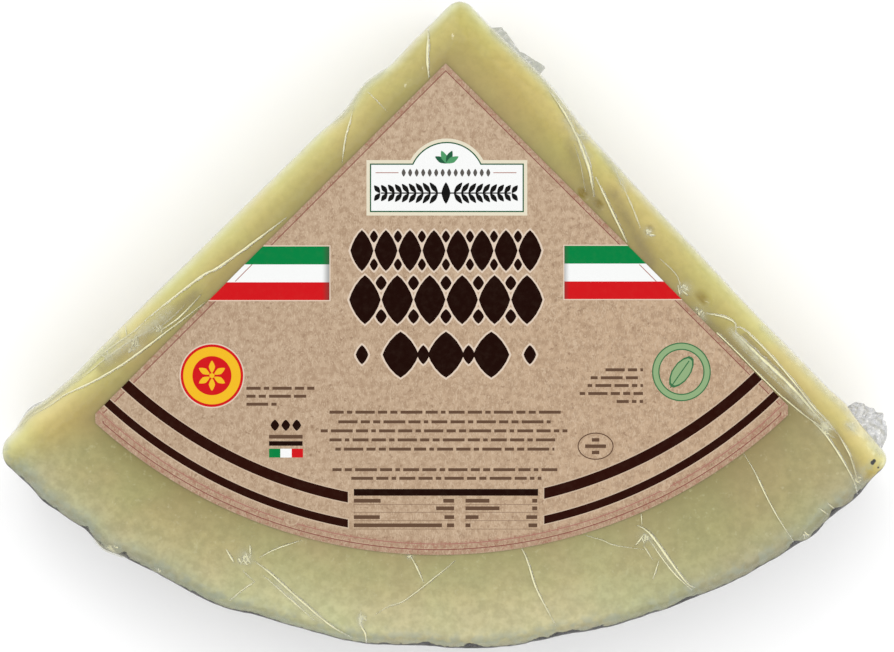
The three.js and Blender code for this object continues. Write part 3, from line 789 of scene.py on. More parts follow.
RIND_CREASES = [
    ([(-22.8, 13.8), (-21.5, 11.5)], 0.5, 1.0),
    ([(-20.7, 16.9), (-20.3, 14.5)], 0.4, 0.9),
    ([(-19.4, 14.2), (-18.2, 16.8), (-15.7, 21.0)], 0.36, 0.7),
    ([(-19.7, 13.3), (-15.6, 8.6), (-11.6, 3.9), (-9.0, 1.5)], 0.6, 1.0),
    ([(-18.5, 10.3), (-14.9, 6.2), (-12.6, 3.3)], 0.42, 0.8),
    ([(-19.0, 8.5), (-19.9, 5.8), (-20.7, 2.6)], 0.36, 0.7),
    ([(-19.0, 8.5), (-20.5, 10.6)], 0.25, 0.5),
    ([(-8.5, 8.4), (-8.4, 5.3), (-7.8, 3.1), (-7.6, 0.7)], 0.5, 0.95),
    ([(-4.3, 22.4), (-3.6, 20.0), (-2.6, 15.5)], 0.42, 0.8),
    ([(0.6, 21.6), (-4.0, 12.1), (-5.9, 9.9), (-7.2, 7.6)], 0.36, 0.7),
    ([(6.7, 24.6), (7.7, 23.0), (8.2, 18.9), (8.6, 13.1), (9.9, 3.2)], 0.5, 0.85),
    ([(14.6, 23.3), (16.2, 21.1), (17.3, 19.0), (20.1, 15.8)], 0.26, 0.6),
    ([(20.2, 21.8), (20.8, 20.3), (21.4, 17.0), (22.6, 5.4), (23.2, 2.8)], 0.72, 1.0),
    ([(20.8, 18.3), (21.8, 8.9), (22.9, 2.5)], 0.4, 0.9),
    ([(21.1, 24.4), (20.7, 21.5)], 0.32, 0.8),
    ([(20.7, 19.5), (19.3, 17.4)], 0.4, 0.9),
    ([(20.1, 16.8), (20.5, 12.7)], 0.34, 0.8),
    ([(21.1, 12.4), (19.8, 8.4)], 0.3, 0.8),
    ([(33.9, 26.2), (33.8, 21.2), (33.4, 14.4), (33.2, 8.2), (33.2, 1.6)], 0.38, 0.85),
    ([(42.9, 14.0), (42.4, 9.0), (41.8, 5.8), (41.1, 2.6)], 0.42, 0.9),
    ([(41.8, 21.6), (41.9, 16.8), (41.7, 12.1), (41.1, 4.9), (40.5, 1.0)], 0.45, 0.9),
    ([(36.9, 4.4), (37.2, 1.6)], 0.3, 0.8),
    ([(37.8, 4.0), (38.0, 1.8)], 0.28, 0.7),
]

# Knots of small crumples: the side, along, inset, radius and how many creases they have
CRUMPLES = [
    (LEFT, 114.5, 5.4, 2.6, 9), (LEFT, 108.0, 7.2, 1.6, 5), (LEFT, 121.1, 3.2, 2.0, 5),
    (RIGHT, 72.5, 5.6, 1.6, 6), (RIGHT, 88.4, 8.6, 1.8, 7), (RIGHT, 95.4, 10.4, 2.4, 7),
    (RIGHT, 45.0, 1.6, 2.0, 7), (RIGHT, 135.5, 7.8, 2.2, 16), (RIGHT, 139.6, 2.8, 1.6, 6),
    (RIND, -20.7, 13.4, 2.2, 13), (RIND, -8.3, 6.6, 1.2, 8),
    (RIND, -4.2, 22.0, 1.0, 7), (RIND, 20.6, 18.4, 1.6, 9), (RIND, 41.3, 3.4, 1.6, 7),
    (RIND, -32.4, 1.6, 2.0, 8), (RIND, -27.6, 1.6, 0.8, 4), (RIND, 34.4, 2.0, 1.4, 5),
]

# Where the film is whitened or painted with a highlight, or painted with shade if the strength is negative:
# a path, spread and strength
WHITENINGS_HIGHLIGHTS_AND_SHADES = [
    (LEFT, [(27, 0.3), (34, 0.5), (42, 0.5)], 1.0, 0.45),
    (LEFT, [(96, 7.6), (106, 6.4), (116, 5.2), (124, 4.0)], 1.3, -0.4),
    (LEFT, [(103, 5.6), (112, 4.6), (121, 3.0)], 1.5, 0.5),
    (LEFT, [(116, 1.6), (127, 1.2), (137, 0.9), (148, 0.7)], 0.7, 0.6),
    (RIGHT, [(12, 0.3), (20, 0.5), (27, 0.3)], 0.9, 0.5),
    (RIGHT, [(28, 0.2), (38, 0.6), (46, 1.8)], 0.8, 0.55),
    (RIGHT, [(39, 2.6), (45, 3.4), (50, 4.6)], 1.1, 0.4),
    (RIGHT, [(52, 0.7), (57, 1.4), (61, 2.8)], 0.8, 0.6),
    (RIGHT, [(44, 5.6), (52, 8.4), (60, 10.6)], 1.2, -0.3),
    (RIGHT, [(60, 5.6), (70, 8.2), (78, 10.4)], 1.4, -0.35),
    (RIGHT, [(94, 10.4), (104, 9.4), (114, 9.2), (126, 8.8), (135, 8.0)], 0.8, -0.3),
    (RIGHT, [(103, 7.5), (110, 7.7), (118, 7.6), (128, 7.4), (136, 7.4)], 0.8, 0.6),
    (RIGHT, [(106, 5.9), (114, 5.9), (128, 6.3)], 0.4, -0.45),
    (RIGHT, [(108, 1.2), (124, 1.2), (140, 1.4)], 0.8, 0.45),
    (RIGHT, [(138.6, 2.8), (141, 2.4)], 0.9, 0.7),
    (RIGHT, [(144, 1.2), (149, 1.4)], 1.0, 0.5),
    (RIND, [(42.8, 15), (42.1, 8.5), (41.4, 3.4)], 0.9, -0.4),
    (RIND, [(-17.0, 9.6), (-14.4, 6.4), (-12.0, 4.2)], 0.8, 0.45),
    (RIND, [(-20.8, 13.8), (-20.2, 13.0)], 1.3, 0.4),
    (RIND, [(-8.4, 6.8), (-8.3, 5.2)], 0.7, 0.8),
    (RIND, [(20.9, 18.4), (21.8, 11), (22.9, 3.6)], 0.5, 0.3),
    (RIND, [(-34, 0.5), (-31.4, 0.7)], 0.9, 0.6),
]

SOFT_VEIL = (0.8, 0.45)  # behind each knot: its spread, in radii of the knot, and its strength
WALL_VEIL = 0.35  # how white the film gets in patches on the walls
VEIL_LIFT = 0.4  # how far the film stands up where it is whitened or painted with highlight or shade
FILM_STAND = 0.05  # how far it stands off everywhere but over the label


def distance_to_path(points, line):
    """How far each point is from a line of points."""
    nearest = np.full(len(points), np.inf)
    for a, b in zip(line[:-1], line[1:]):
        step = b - a
        share = np.clip((points - a) @ step / max(step @ step, 1e-9), 0, 1)
        nearest = np.minimum(nearest, np.linalg.norm(points - a - share[:, None] * step, axis=1))
    return nearest


def make_film(material):
    rings = slab_rings(0.0, base_rings=6, wall_rings=34, edge_rings=16, top_rings=58)
    points = np.vstack(rings)
    height = points[:, 2]
    white_and_highlight, painted_crease_shade, lift = np.zeros((3, len(points)))
    upper = np.flatnonzero(height > WALL_TOP - 3)
    still_high = smoothstep(WALL_TOP - 3, WALL_TOP + 1.5, height[upper])
    behind = [(side, [(along, inset), (along, inset + 0.1)], SOFT_VEIL[0] * radius, SOFT_VEIL[1])
              for side, along, inset, radius, _ in CRUMPLES]
    for side, path, spread, strength in WHITENINGS_HIGHLIGHTS_AND_SHADES + behind:
        line = spot_on_film(side, *smooth_path(path, 1.0)[0].T)[0]
        away = distance_to_path(points[upper][:, :2], line[:, :2])
        near = np.exp(-((away / spread) ** 2)) * abs(strength) * still_high
        # a positive strength whitens or paints a highlight, a negative one paints shade
        shows = white_and_highlight if strength > 0 else painted_crease_shade
        shows[upper] = np.maximum(shows[upper], near)
        lift[upper] = np.maximum(lift[upper], VEIL_LIFT * near)
    push = lift + FILM_STAND + 0.04 * noise_at(points, 5, 11) + 0.05 * noise_at(points, 14, 12)
    push[(outside_label(points[:, :2]) < 0.5) & (height > WALL_TOP)] = 0
    on_wall = 1 - smoothstep(WALL_TOP - 4, WALL_TOP, height)
    wall_veil = np.clip(noise_at(points * np.array([1, 1, 0.35]), 7, 13) - 0.15, 0, 1)
    rind_in = RIND.coordinates(points[:, :2])[1]

    values = {
        "white_and_highlight": np.maximum(white_and_highlight, WALL_VEIL * wall_veil * on_wall),
        "painted_crease_shade": painted_crease_shade,
        "edge": (height > WALL_TOP - 2) * np.exp(-((rind_in / EDGE_SPREAD) ** 2)),
    }
    faces = skin_faces(len(rings), len(rings[0]))
    film = make_piece("film", points, faces, [material], values)
    move_points(film, points, push)
    return film


# A crease across its line: how far aside and how high, in widths, and how white, partly as a painted
# highlight
CREASE_SECTION = np.array([
    (0.9, -0.05, 0), (0.44, -0.02, 0.2), (0.22, 0.1, 1), (0, 0.16, 1), (-0.22, 0.1, 1), (-0.46, -0.04, 0),
])
CREASE_SPACING = {"cut": 0.35, "rind": 0.16}  # between its points, as its path is measured there
CREASE_LIFT = 0.04  # how far a crease stands off the film
CREASE_WANDER = 0.06  # how far it strays from its path
CREASE_UNEVENNESS = 0.35  # how much its width varies
LABEL_MARGIN = 0.25  # it ends this far from the label


def ridge(side, path, width, strength, seed):
    """One sharp crease along a path on the film, in parts where the label covers some of it.

    Each part is its points, its faces, and how white it is at each point, which is partly a painted
    highlight.
    """
    knots, share = smooth_path(path, CREASE_SPACING[side.edge_kind])
    wander = CREASE_WANDER * noise_at(np.column_stack([knots * 2.0, np.zeros(len(knots))]), 3, seed)
    knots = knots + np.column_stack([np.zeros(len(knots)), wander * np.sin(np.pi * share)])
    spot, facing = spot_on_film(side, knots[:, 0], knots[:, 1])
    across = np.cross(facing, np.gradient(spot, axis=0))
    across /= np.linalg.norm(across, axis=1, keepdims=True)
    swell = 0.25 + 0.75 * np.sin(np.pi * share) ** 0.6
    uneven = 1 + CREASE_UNEVENNESS * noise_at(spot, 2.4, seed + 3)
    wide = (width * swell * uneven)[:, None]
    sections = np.stack([
        spot + across * wide * aside + facing * (wide * high + CREASE_LIFT)
        for aside, high in CREASE_SECTION[:, :2]
    ], 1)
    # how white the crease is, partly a painted highlight
    whiteness_and_highlight = strength * (0.9 + 0.3 * uneven) * swell
    white = whiteness_and_highlight[:, None] * CREASE_SECTION[:, 2]
    open_to_view = np.flatnonzero(outside_label(spot[:, :2]) >= LABEL_MARGIN)
    for run in np.split(open_to_view, np.flatnonzero(np.diff(open_to_view) > 1) + 1):
        if len(run) > 2:
            faces = skin_faces(len(run), len(CREASE_SECTION))
            yield sections[run].reshape(-1, 3), faces, white[run].ravel()


def join_parts(parts):
    """All parts as one set of points, faces and values."""
    faces, count = [], 0
    for points, part_faces, _ in parts:
        faces += [[count + i for i in face] for face in part_faces]
        count += len(points)
    return np.vstack([part[0] for part in parts]), faces, np.hstack([part[2] for part in parts])


def wall_creases(start, end, count, seed):
    """Creases down a wall, evenly spaced, each with its own slant, start and length."""
    spacing = (end - start) / count
    creases = []
    for i in range(count):
        along = start + (i + 0.5) * spacing
        lean = 0.6 * spacing * math.sin(2.4 * i + seed)
        high = 0.5 + 4 * ((i * 2 + seed) % 3)
        low = min(high + 12 + 4 * ((i * 3 + seed) % 5), 38)
        path = [(along, -high), (along + 0.6 * lean, -(high + low) / 2), (along + lean, -low)]
        creases.append((path, 0.3 + 0.12 * ((i + seed) % 3), 0.4 + 0.15 * ((i * 2) % 3)))
    return creases


def crumple(side, along, inset, radius, count, seed):
    """Short creases that cross one another round a spot."""
    per_unit = 1.0 if side.edge_kind == "cut" else math.radians(WHEEL_RADIUS)
    creases = []
    for i in range(count):
        turn = 2.4 * i + seed
        out = radius * 0.75 * ((i * 0.618 + 0.13 * seed) % 1)
        length = radius * (0.15 + 0.6 * ((i * 0.377 + 0.29) % 1) ** 1.5)
        centre = np.array([along + out * math.cos(turn) / per_unit, inset + 0.7 * out * math.sin(turn)])
        lean = 0.9 * seed + 0.75 * math.sin(1.9 * i + 0.7 * seed)
        half = np.array([length * math.cos(lean) / per_unit, length * math.sin(lean)])
        path = [(a, max(b, 0.1)) for a, b in (centre - half, centre + half)]
        creases.append((path, 0.26 + 0.16 * (i % 3), 0.75 + 0.15 * (i % 3)))
    return creases


def make_creases(material):
    jobs = [(side, crease) for side, creases in (
        (LEFT, LEFT_CREASES), (RIGHT, RIGHT_CREASES), (RIND, RIND_CREASES),
        (LEFT, wall_creases(8, 138, 10, 1)), (RIGHT, wall_creases(30, 134, 8, 2)),
        (RIND, wall_creases(-42, 42, 14, 3)),
    ) for crease in creases]
    for seed, (side, *spec) in enumerate(CRUMPLES):
        jobs += [(side, crease) for crease in crumple(side, *spec, seed)]
    parts = [part for seed, (side, crease) in enumerate(jobs) for part in ridge(side, *crease, seed)]
    vertices, faces, white = join_parts(parts)
    values = {"white_and_highlight": np.clip(white, 0, 1)}
    return make_piece("film_creases", vertices, faces, [material], values)


# Loose ears of film: the side, the rim as [along, reach], the level, the ripple and how cloudy it is, with
# painted highlights on its crumpled ridges
EARS = {
    "film_ear_right": (RIGHT, [
        (136.4, 0), (136.9, 2.6), (138.4, 3.9), (140.6, 4.9), (143.0, 5.6), (145.6, 5.5), (147.4, 4.9),
        (148.6, 3.0), (149.6, 0),
    ], 34.5, 1.2, 0.8),
    "film_ear_tip": (RIGHT, [
        (10.4, 0), (12.0, 2.4), (15.6, 1.9), (19.6, 1.2), (20.4, 1.7), (25.4, 2.6), (26.6, 2.6),
        (27.0, 0),
    ], 33.5, 0.15, 0.85),
    "film_ear_left": (LEFT, [(139.5, 0), (142.0, 0.7), (146.0, 0.9), (151.5, 0)], 34.0, 0.4, 0.6),
}

EAR_ROOT = -1.0  # the ears start this far inside the wall
EAR_HALF_THICKNESS = 0.05
EAR_DROOP = 1.2  # how far their rims hang down
EAR_CELLS = (90, 30)  # along the wall and out from it


def make_ear(name, material):
    """A crumpled sheet of film that stands out from the wall, with an uneven rim."""
    side, outline, level, ripple, cloudy_and_lit = EARS[name]
    rim_along, rim_reach = np.array(outline).T
    across, out = EAR_CELLS
    share, far = np.meshgrid(np.linspace(0, 1, across), np.linspace(0, 1, out), indexing="ij")
    share, far = share.ravel(), far.ravel()
    along = rim_along[0] + share * (rim_along[-1] - rim_along[0])
    flat = np.column_stack([along, far * rim_reach.max(), np.zeros(len(far))])
    uneven = noise_at(flat * np.array([1, 0, 0]), 1.3, 21)
    rim = np.interp(along, rim_along, rim_reach) * (1 + 0.12 * uneven)
    crush, finer = (1 - np.abs(noise_at(flat, size, seed)) * 2 for size, seed in ((2.6, 23), (1.1, 24)))
    wave = ripple * far * (1.1 * crush + 0.5 * finer)
    shift = 0.25 * far * noise_at(flat, 1.6, 25)
    stand = EAR_ROOT + far * (rim - EAR_ROOT)
    plan = side.edge(along + shift) + stand[:, None] * side.outward(along)
    middle = np.column_stack([plan, level + wave - EAR_DROOP * far])
    thick = np.array([0, 0, EAR_HALF_THICKNESS])

    # Rings that go out along the upper face and back along the lower one
    cells = np.arange(across * out).reshape(across, out)
    order = np.hstack([cells, cells[:, ::-1] + cells.size]).ravel()
    around = 2 * out
    faces = skin_faces(across, around)[:-2]
    for base, turn in ((0, -1), ((across - 1) * around, 1)):
        faces += [[base + k, base + k + 1, base + around - 2 - k, base + around - 1 - k][::turn]
                  for k in range(out - 1)]
    if side is RIGHT:
        faces = [face[::-1] for face in faces]
    vertices = np.vstack([middle + thick, middle - thick])[order]
    # whiter on the crumpled ridges, partly as a painted highlight
    ridged = np.clip(np.maximum(crush, finer), 0, 1) ** 2
    white_and_highlight = np.clip(np.tile(cloudy_and_lit * (0.4 + 0.75 * ridged), 2)[order], 0, 1)
    return make_piece(name, vertices, faces, [material], {"white_and_highlight": white_and_highlight})


# ---- the label's print

KRAFT = "kraft"


def rectangle(left, bottom, right, top):
    return [(left, bottom), (right, bottom), (right, top), (left, top)]


def oval(x, y, half_width, half_height, steps):
    turns = [2 * math.pi * i / steps for i in range(steps)]
    return [(x + half_width * math.cos(t), y + half_height * math.sin(t)) for t in turns]


def lozenge(x, y, half_width, half_height, bulge=0.18):
    """A diamond whose sides swell out a little, standing upright."""
    points = []
    for sx, sy in ((1, 1), (-1, 1), (-1, -1), (1, -1)):
        for t in (0.0, 0.25, 0.5, 0.75):
            across, up = (1 - t, t) if sx * sy > 0 else (t, 1 - t)
            swell = 1 + bulge * math.sin(math.pi * t)
            points.append((x + sx * half_width * across * swell, y + sy * half_height * up * swell))
    return points


def band(inner, outer, start, ends, steps):
    """A strip between two circles round the centre of the label's arc, in degrees from -Y.

    It goes from one angle to an end of its own on each circle.
    """
    rows = [on_arc(LABEL_ARC_CENTRE, radius, *np.radians([start - 90, end - 90]), steps)
            for radius, end in ((inner, ends[0]), (outer, ends[1]))]
    return np.vstack([rows[0], rows[1][::-1]])


def cut_band(inner, outer, side, end_x):
    """A strip along the arc, from beyond the label's edge to an upright end at end_x."""
    reach = end_x - LABEL_ARC_CENTRE[0]
    ends = [math.degrees(math.asin(reach / radius)) for radius in (inner, outer)]
    return band(inner, outer, side * 52, ends, 40)


def turned(shape, x, y, degrees):
    """A shape drawn at the origin, turned and moved to a place."""
    c, s = math.cos(math.radians(degrees)), math.sin(math.radians(degrees))
    return [(x + c * px - s * py, y + s * px + c * py) for px, py in shape]


def plaque(margin):
    """A panel with a round arch over its middle, drawn in by a margin."""
    middle, half_width, bottom, top = 0.57, 19.15, 25.75, 38.95
    arch_radius, arch_top = 9.9, 44.1
    radius, shoulder = arch_radius - margin, top - margin
    arch_centre = np.array([middle, arch_top - arch_radius])
    first = math.asin((shoulder - arch_centre[1]) / radius)
    left, right = middle - half_width + margin, middle + half_width - margin
    return np.vstack([
        rectangle(left, bottom + margin, right, shoulder)[:3],
        on_arc(arch_centre, radius, first, math.pi - first, 32),
        (left, shoulder),
    ])


def words(start, end, y, height, seed):
    """A line of plain dashes, as long as words, that fills the width from start to end."""
    lengths = [3.4, 1.3, 4.6, 2.2, 1.7, 5.2, 2.9, 1.1, 3.8]
    gap = 0.75
    x, i, dashes = start, seed, []
    while x < end - 0.5:
        length = min(lengths[i % len(lengths)], end - x)
        dashes.append(rectangle(x, y - height / 2, x + length, y + height / 2))
        x += length + gap
        i += 1
    return dashes


def label_print():
    """The print from the ground up: pairs of an ink's name and a shape."""
    shapes = []

    def put(ink, *outlines):
        shapes.extend((ink, outline) for outline in outlines)

    def disc(ink, x, y, radius, steps=64):
        put(ink, oval(x, y, radius, radius, steps))

    put("strip", label_outline())
    put("keyline", label_outline(-1.15))
    put(KRAFT, label_outline(-1.36))
    put("strip", band(118.2, 119.7, -50, (50, 50), 120))
    put("faint_line", band(118.6, 118.8, -50, (50, 50), 120))

    # A pale pattern of small rings all over the ground
    for row in range(12):
        for column in range(-8, 9):
            x, y = (column + 0.5 * (row % 2)) * 10.4, 44 - row * 8.2
            if outside_label(np.array([x, y])) < -3.4:
                disc("motif", x, y, 1.9, 24)
                disc(KRAFT, x, y, 1.6, 24)
                put("motif", *(turned(lozenge(0, 0, 0.4, 1.0), x, y, angle) for angle in (0, 90)))

    # Stripes at the left and right, and the brown bands along the arc, each with a pale rim
    far, rim = 90, 0.25
    for left, right, (low, lower, upper, high) in (
        (-far, -27.4, (5.6, 9.85, 14.1, 18.4)), (28.55, far, (5.85, 10.05, 14.3, 18.55)),
    ):
        put("pale", rectangle(left - rim, low - rim, right + rim, high + rim))
        for ink, bottom, top in (("white", lower, upper), ("green", upper, high), ("red", low, lower)):
            put(ink, rectangle(left, bottom, right, top))
    for side, end_x in ((-1, -23.0), (1, 23.75)):
        for inner, outer in ((108.4, 110.9), (114.85, 116.75)):
            put("edge", cut_band(inner - rim, outer + rim, side, end_x - rim * side))
            put("brown", cut_band(inner, outer, side, end_x))

    # The keyline's two straight sides show pale red over the white stripe
    for side in (-1, 1):
        down, across = label_side(side)
        base = LABEL_APEX - 1.26 * across
        put("faint_line", [base + down * t + across * w for t, w in rectangle(66.5, -0.1, 72.2, 0.1)])

    # The title's three rows of solid diamonds, small ones between the large, each with a pale edge
    middle = 0.35
    marks = []
    for y, count, pitch, width, height in ((17.4, 8, 5.72, 2.75, 4.9), (5.7, 6, 7.72, 3.75, 5.85)):
        start = middle - (count - 1) / 2 * pitch
        marks += [(start + i * pitch, y, width, height) for i in range(count)]
        between = [start + (i + 0.5) * pitch for i in range(count - 1)]
        marks += [(x, y + up * 0.68 * height, 0.36 * width, 0.3 * height)
                  for x in between for up in (-1, 1)]
    marks += [(middle + x, -7.4, 4.3, 5.5) for x in (-10.8, 0, 10.8)]
    marks += [(middle + x, -7.4, 1.5, 2.3) for x in (-20.0, -5.4, 5.4, 20.0)]
    halo = 0.5
    put("pale", *(lozenge(x, y, width + halo, height + halo) for x, y, width, height in marks))
    put("title", *(lozenge(*mark) for mark in marks))

    # The panel at the top, with a sprig, a thin rule and a garland
    for ink, margin in (("cream", 0), ("dark_green", 0.8), ("white", 1.12)):
        put(ink, plaque(margin))
    leaf = lozenge(0, 1.5, 0.75, 1.7)
    for angle, ink in ((62, "dark_green"), (24, "leaf"), (-24, "dark_green"), (-62, "leaf")):
        put(ink, turned(leaf, middle + 0.2, 38.3, angle))
    for left in (middle - 16.8, middle + 11.3):
        put("faint_line", rectangle(left, 35.85, left + 5.5, 36.05))
    put("grey", *(lozenge(middle + (i - 6.5) * 1.55, 35.95, 0.5, 0.95) for i in range(14)))
    garland_y = 31.1
    put("black", rectangle(middle - 15.5, garland_y - 0.16, middle + 15.5, garland_y + 0.16))
    for i in range(9):
        size = 1.62 - 0.055 * i
        for side in (-1, 1):
            x = middle + side * (1.9 + 1.72 * i)
            blade = lozenge(0, size, 0.62, size)
            put("black", *(turned(blade, x, garland_y, -side * lean) for lean in (142, 38)))
    put("black", lozenge(middle, garland_y, 1.1, 2.6))

    # A round seal at the left
    x, y = -55.4, -12.4
    for ink, radius in (("pale", 7.75), ("red", 7.45), ("gold", 6.85), ("red", 4.65)):
        disc(ink, x, y, radius)
    put("gold", *(turned(lozenge(0, 2.1, 0.75, 1.5), x, y, 60 * i) for i in range(6)))
    disc("gold", x, y, 0.6, 20)

    # A round leaf mark at the right
    x, y = 56.45, -11.5
    for ink, radius in (("mark_line", 7.0), ("mark", 6.72), ("mark_line", 5.5), (KRAFT, 5.22)):
        disc(ink, x, y, radius)
    for ink, size in (("mark_line", 1.0), ("mark", 0.86)):
        put(ink, turned(lozenge(0, 0, 2.1 * size, 4.3 * size, 0.4), x, y, -35))
    put("mark_line", turned(rectangle(-0.13, -4.6, 0.13, 3.2), x, y, -35))

    # Small plain dashes in the place of small print
    for start, end, y, seed in (
        (-47.2, -30.5, -15.4, 0), (-47.2, -31.7, -17.3, 3), (-47.2, -40.0, -19.2, 5),
        (38.35, 47.3, -11.0, 2), (34.8, 47.3, -12.9, 4), (34.1, 47.3, -14.75, 7), (32.2, 47.3, -16.65, 1),
        (41.0, 47.3, -18.55, 6), (-27.4, 27.9, -21.1, 0), (-25.3, 25.3, -23.4, 2), (-29.5, 29.3, -25.55, 4),
        (-27.4, 27.2, -27.7, 6), (-26.0, 26.2, -29.9, 1), (-26.7, 27.4, -34.8, 3), (-22.2, 23.1, -36.85, 5),
    ):
        put("text", *words(start, end, y, 0.72, seed))

    # A small block at the lower left: three lozenges, two bars and three fields of colour
    put("title", *(lozenge(x, -24.2, 1.05, 1.35) for x in (-40.4, -37.8, -35.2)))
    put("text", rectangle(-41.8, -27.4, -33.8, -26.5))
    put("title", rectangle(-41.8, -29.1, -33.8, -28.0))
    for i, ink in enumerate(("green", "white", "red")):
        put(ink, rectangle(-41.8 + 2.7 * i, -31.9, -39.1 + 2.7 * i, -29.8))

    # An oval with three bars
    x, y = 36.0, -29.2
    put("text", oval(x, y, 4.3, 3.25, 48))
    put(KRAFT, oval(x, y, 4.03, 2.98, 48))
    for offset, half in ((1.5, 0.9), (0, 2.5), (-1.5, 0.9)):
        put("text", rectangle(x - half, y + offset - 0.42, x + half, y + offset + 0.42))

    # A table between the brown bands
    put("title", rectangle(-21.6, -41.0, 22.3, -39.4))
    for y in (-43.1, -44.95, -46.95, -48.95):
        for left, right in ((-21.6, 2.4), (5.0, 22.2)):
            put("rule", rectangle(left, y - 0.07, right, y + 0.07))
    for y, *cells in (
        (-42.2, (-21.6, -15.2), (-0.3, 2.3), (5.0, 10.7), (20.9, 22.1)),
        (-44.0, (-2.0, 2.3), (5.0, 13.1), (20.9, 22.1)),
        (-46.1, (-21.6, -15.4), (0.0, 2.3), (5.0, 8.1), (19.5, 22.1)),
        (-48.05, (-21.6, -0.6), (0.6, 2.3), (5.0, 6.2), (20.0, 22.1)),
    ):
        put("text", *(rectangle(left, y - 0.45, right, y + 0.45) for left, right in cells))
    return shapes


INKS = {
    KRAFT: None, "strip": (186, 156, 131), "edge": (212, 188, 163), "keyline": (142, 84, 76),
    "faint_line": (176, 120, 108), "motif": (214, 190, 164), "pale": (232, 212, 192),
    "white": (254, 255, 254), "green": (4, 134, 68), "red": (216, 24, 30), "brown": (44, 12, 4),
    "title": (30, 7, 2), "cream": (238, 230, 206), "dark_green": (38, 96, 66), "leaf": (84, 160, 108),
    "grey": (96, 92, 88), "black": (20, 20, 20), "gold": (250, 195, 40), "mark_line": (62, 118, 76),
    "mark": (150, 180, 132), "text": (104, 78, 60), "rule": (150, 124, 102),
}
THIN_INKS = {"motif": 0.42, "strip": 0.7}  # inks that let the paper show, and how much they cover
STRIPES = ("green", "white", "red")


def paper_material(name, ink):
    """Kraft paper, or an ink on it that lets a little of its fibres show."""
    g = Graph(name)
    mottle = g.noise(1.5, 4, 0.65)
    fibre = g.noise(0.7, place=g.scaled((1, 0.4, 1)), distortion=2.5)
    if ink is None or name in THIN_INKS:
        lower = g.mix(g.step(g.across(), -0.07, 0.07), seen(200, 174, 147), seen(206, 177, 147))
        base = g.mix(g.step(g.distance(LABEL_APEX), 10, 75), seen(206, 181, 154), lower)
        if ink:
            base = g.mix(THIN_INKS[name], base, seen(*ink))
        base = g.layered(
            base,
            (g.step(mottle, 0.36, 0.64, 0, 0.72), seen(172, 143, 116)),
            (g.step(fibre, 0.5, 0.66, 0, 0.6), seen(222, 198, 170)),
            (g.step(g.noise(0.9), 0.62, 0.74, 0, 0.5), seen(140, 110, 86)),
        )
        if name != "motif":
            red = g.step(g.noise(0.8, 4, 0.7), 0.5, 0.62, 0.08, 0.55)
            if ink is None:
                red = g.product(red, g.step(g.distance(LABEL_ARC_CENTRE), 116.8, 119.4))
            base = g.mix(red, base, seen(164, 104, 86))
    else:
        base = g.mix(g.step(mottle, 0.4, 0.8, 0, 0.014), seen(*ink), seen(196, 170, 144))
        if name in STRIPES:
            # The stripes darken towards their inner ends
            from_middle = g.math("ABSOLUTE", g.across())
            darker = g.product(
                g.step(from_middle, 0.0265, 0.027), g.step(from_middle, 0.0277, 0.0297, 0.6, 0),
            )
            base = g.mix(darker, base, seen(70, 66, 60))
    shader = g.principled(
        Base_Color=base, Roughness=0.78, Normal=g.bumped(g.math("ADD", mottle, fibre), 0.03),
        Specular_IOR_Level=0.04,
    )
    return g.finish(shader)


def make_label():
    """The label as a thin plate, cut into faces along the outlines of its print."""
    points, outlines, inks = [], [], []
    for ink, shape in label_print():
        corners = np.array(shape, float)
        following = np.roll(corners, -1, axis=0)
        if np.sum(corners[:, 0] * following[:, 1] - following[:, 0] * corners[:, 1]) < 0:
            corners = corners[::-1]
        outlines.append(list(range(len(points), len(points) + len(corners))))
        points += [Vector(corner) for corner in corners.tolist()]
        inks.append(ink)
    found = geometry.delaunay_2d_cdt(points, [], outlines, 1, 1e-4)
    places, triangles, over = found[0], found[2], found[5]

    # A triangle on the label, which is the first outline, shows the last shape that covers it
    kept = [(face, inks[max(owners)]) for face, owners in zip(triangles, over) if 0 in owners]
    used = sorted({i for face, _ in kept for i in face})
    number = {old: new for new, old in enumerate(used)}
    count = len(used)
    plan = np.array([tuple(places[i]) for i in used])
    levels = (SLAB_HEIGHT + LABEL_THICKNESS, SLAB_HEIGHT)
    vertices = np.vstack([np.column_stack([plan, np.full(count, level)]) for level in levels])
    names = list(INKS)
    faces, face_inks, edges = [], [], {}
    for face, ink in kept:
        ring = [number[i] for i in face]
        a, b, c = plan[ring]
        if (b[0] - a[0]) * (c[1] - a[1]) < (b[1] - a[1]) * (c[0] - a[0]):
            ring.reverse()
        faces += [ring, [i + count for i in reversed(ring)]]
        face_inks += [names.index(ink), names.index(KRAFT)]
        edges.update(dict.fromkeys(zip(ring, ring[1:] + ring[:1])))
    border = [(i, j) for i, j in edges if (j, i) not in edges]
    faces += [[j, i, i + count, j + count] for i, j in border]
    face_inks += [names.index("strip")] * len(border)
    materials = [paper_material(name, INKS[name]) for name in names]
    return make_piece("printed_label", vertices, faces, materials, None, face_inks)


# ---- the object

cheese = make_cheese()
film = make_film(clear_film("film", seen(240, 238, 206), 0.4, 0.5, 3.0, 0.0))
# the creases are whitened film with a painted cream highlight
creases = make_creases(clear_film("film_crease", seen(255, 250, 200), 0.85, 1.0, 1.0))
tuft_film = clear_film("film_tuft", seen(228, 229, 232), 0.5, 1.4, 1.4)
flap_film = clear_film("film_flap", seen(212, 214, 203), 0.8, 1.0, 3.0)
ears = [make_ear(name, tuft_film if name == "film_ear_right" else flap_film) for name in EARS]
label = make_label()
for piece in (cheese, film, creases, *ears):
    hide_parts("pack")
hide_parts("label")

# ---- floor and light

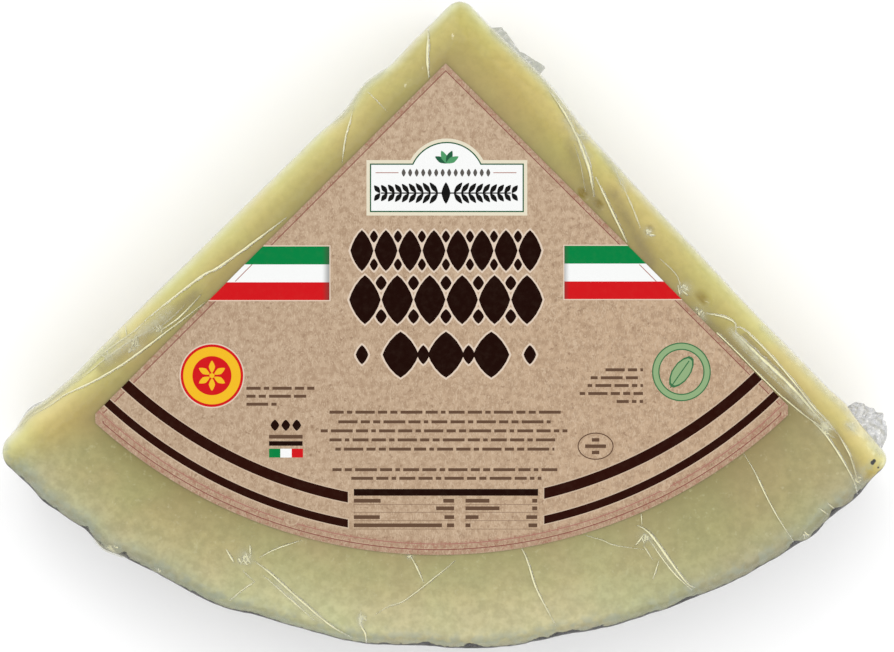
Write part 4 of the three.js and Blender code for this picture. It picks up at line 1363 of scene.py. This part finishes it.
FLOOR_REACH = 3  # metres from its middle to its sides
FLOOR_DROP = 0.0005  # it lies just under the slab
floor_mesh = bpy.data.meshes.new("floor")
corners = [(FLOOR_REACH * x, FLOOR_REACH * y, 0) for x, y in ((-1, -1), (1, -1), (1, 1), (-1, 1))]
floor_mesh.from_pydata(corners, [], [(0, 1, 2, 3)])
floor_graph = Graph("floor")
floor_colour = floor_graph.mix(floor_graph.noise(40, 2), (0.93, 0.93, 0.93, 1), (0.95, 0.95, 0.95, 1))
floor_shader = floor_graph.principled(Base_Color=floor_colour, Roughness=0.9)
floor_mesh.materials.append(floor_graph.finish(floor_shader))
floor = bpy.data.objects.new("floor", floor_mesh)
floor.location.z = -FLOOR_DROP
bpy.context.scene.collection.objects.link(floor)

world = bpy.data.worlds.new("world")
world.use_nodes = True
nodes, links = world.node_tree.nodes, world.node_tree.links
SKY_SIDE, SKY_TOP = 0.62, 1.25  # how bright it is at the horizon and overhead
nodes["Background"].inputs["Color"].default_value = (1, 1, 1, 1)
heights = nodes.new("ShaderNodeSeparateXYZ")
links.new(nodes.new("ShaderNodeTexCoord").outputs["Generated"], heights.inputs[0])
overhead = nodes.new("ShaderNodeMapRange")
overhead.inputs["To Min"].default_value = SKY_SIDE
overhead.inputs["To Max"].default_value = SKY_TOP
links.new(heights.outputs["Z"], overhead.inputs["Value"])
links.new(overhead.outputs["Result"], nodes["Background"].inputs["Strength"])
bpy.context.scene.world = world


def add_softbox(name, azimuth, elevation, distance, size, power):
    """A square light, aimed at the slab. Azimuth is from +Y, clockwise seen from above."""
    light = bpy.data.lights.new(name, "AREA")
    light.shape = "SQUARE"
    light.size = size
    light.energy = power
    turn, rise = math.radians(azimuth), math.radians(elevation)
    flat = math.cos(rise)
    direction = Vector((math.sin(turn) * flat, math.cos(turn) * flat, math.sin(rise)))
    lamp = bpy.data.objects.new(name, light)
    lamp.location = direction * distance
    lamp.rotation_euler = direction.to_track_quat("Z", "Y").to_euler()
    bpy.context.scene.collection.objects.link(lamp)


for softbox in (
    ("key", -40, 52, 1.5, 1.4, 4.0), ("fill_right", 75, 45, 1.5, 1.4, 3.2),
    ("fill_front", 170, 48, 1.5, 1.4, 2.2), ("glint", -15, 62, 1.2, 0.12, 0.3),
):
    add_softbox(*softbox)
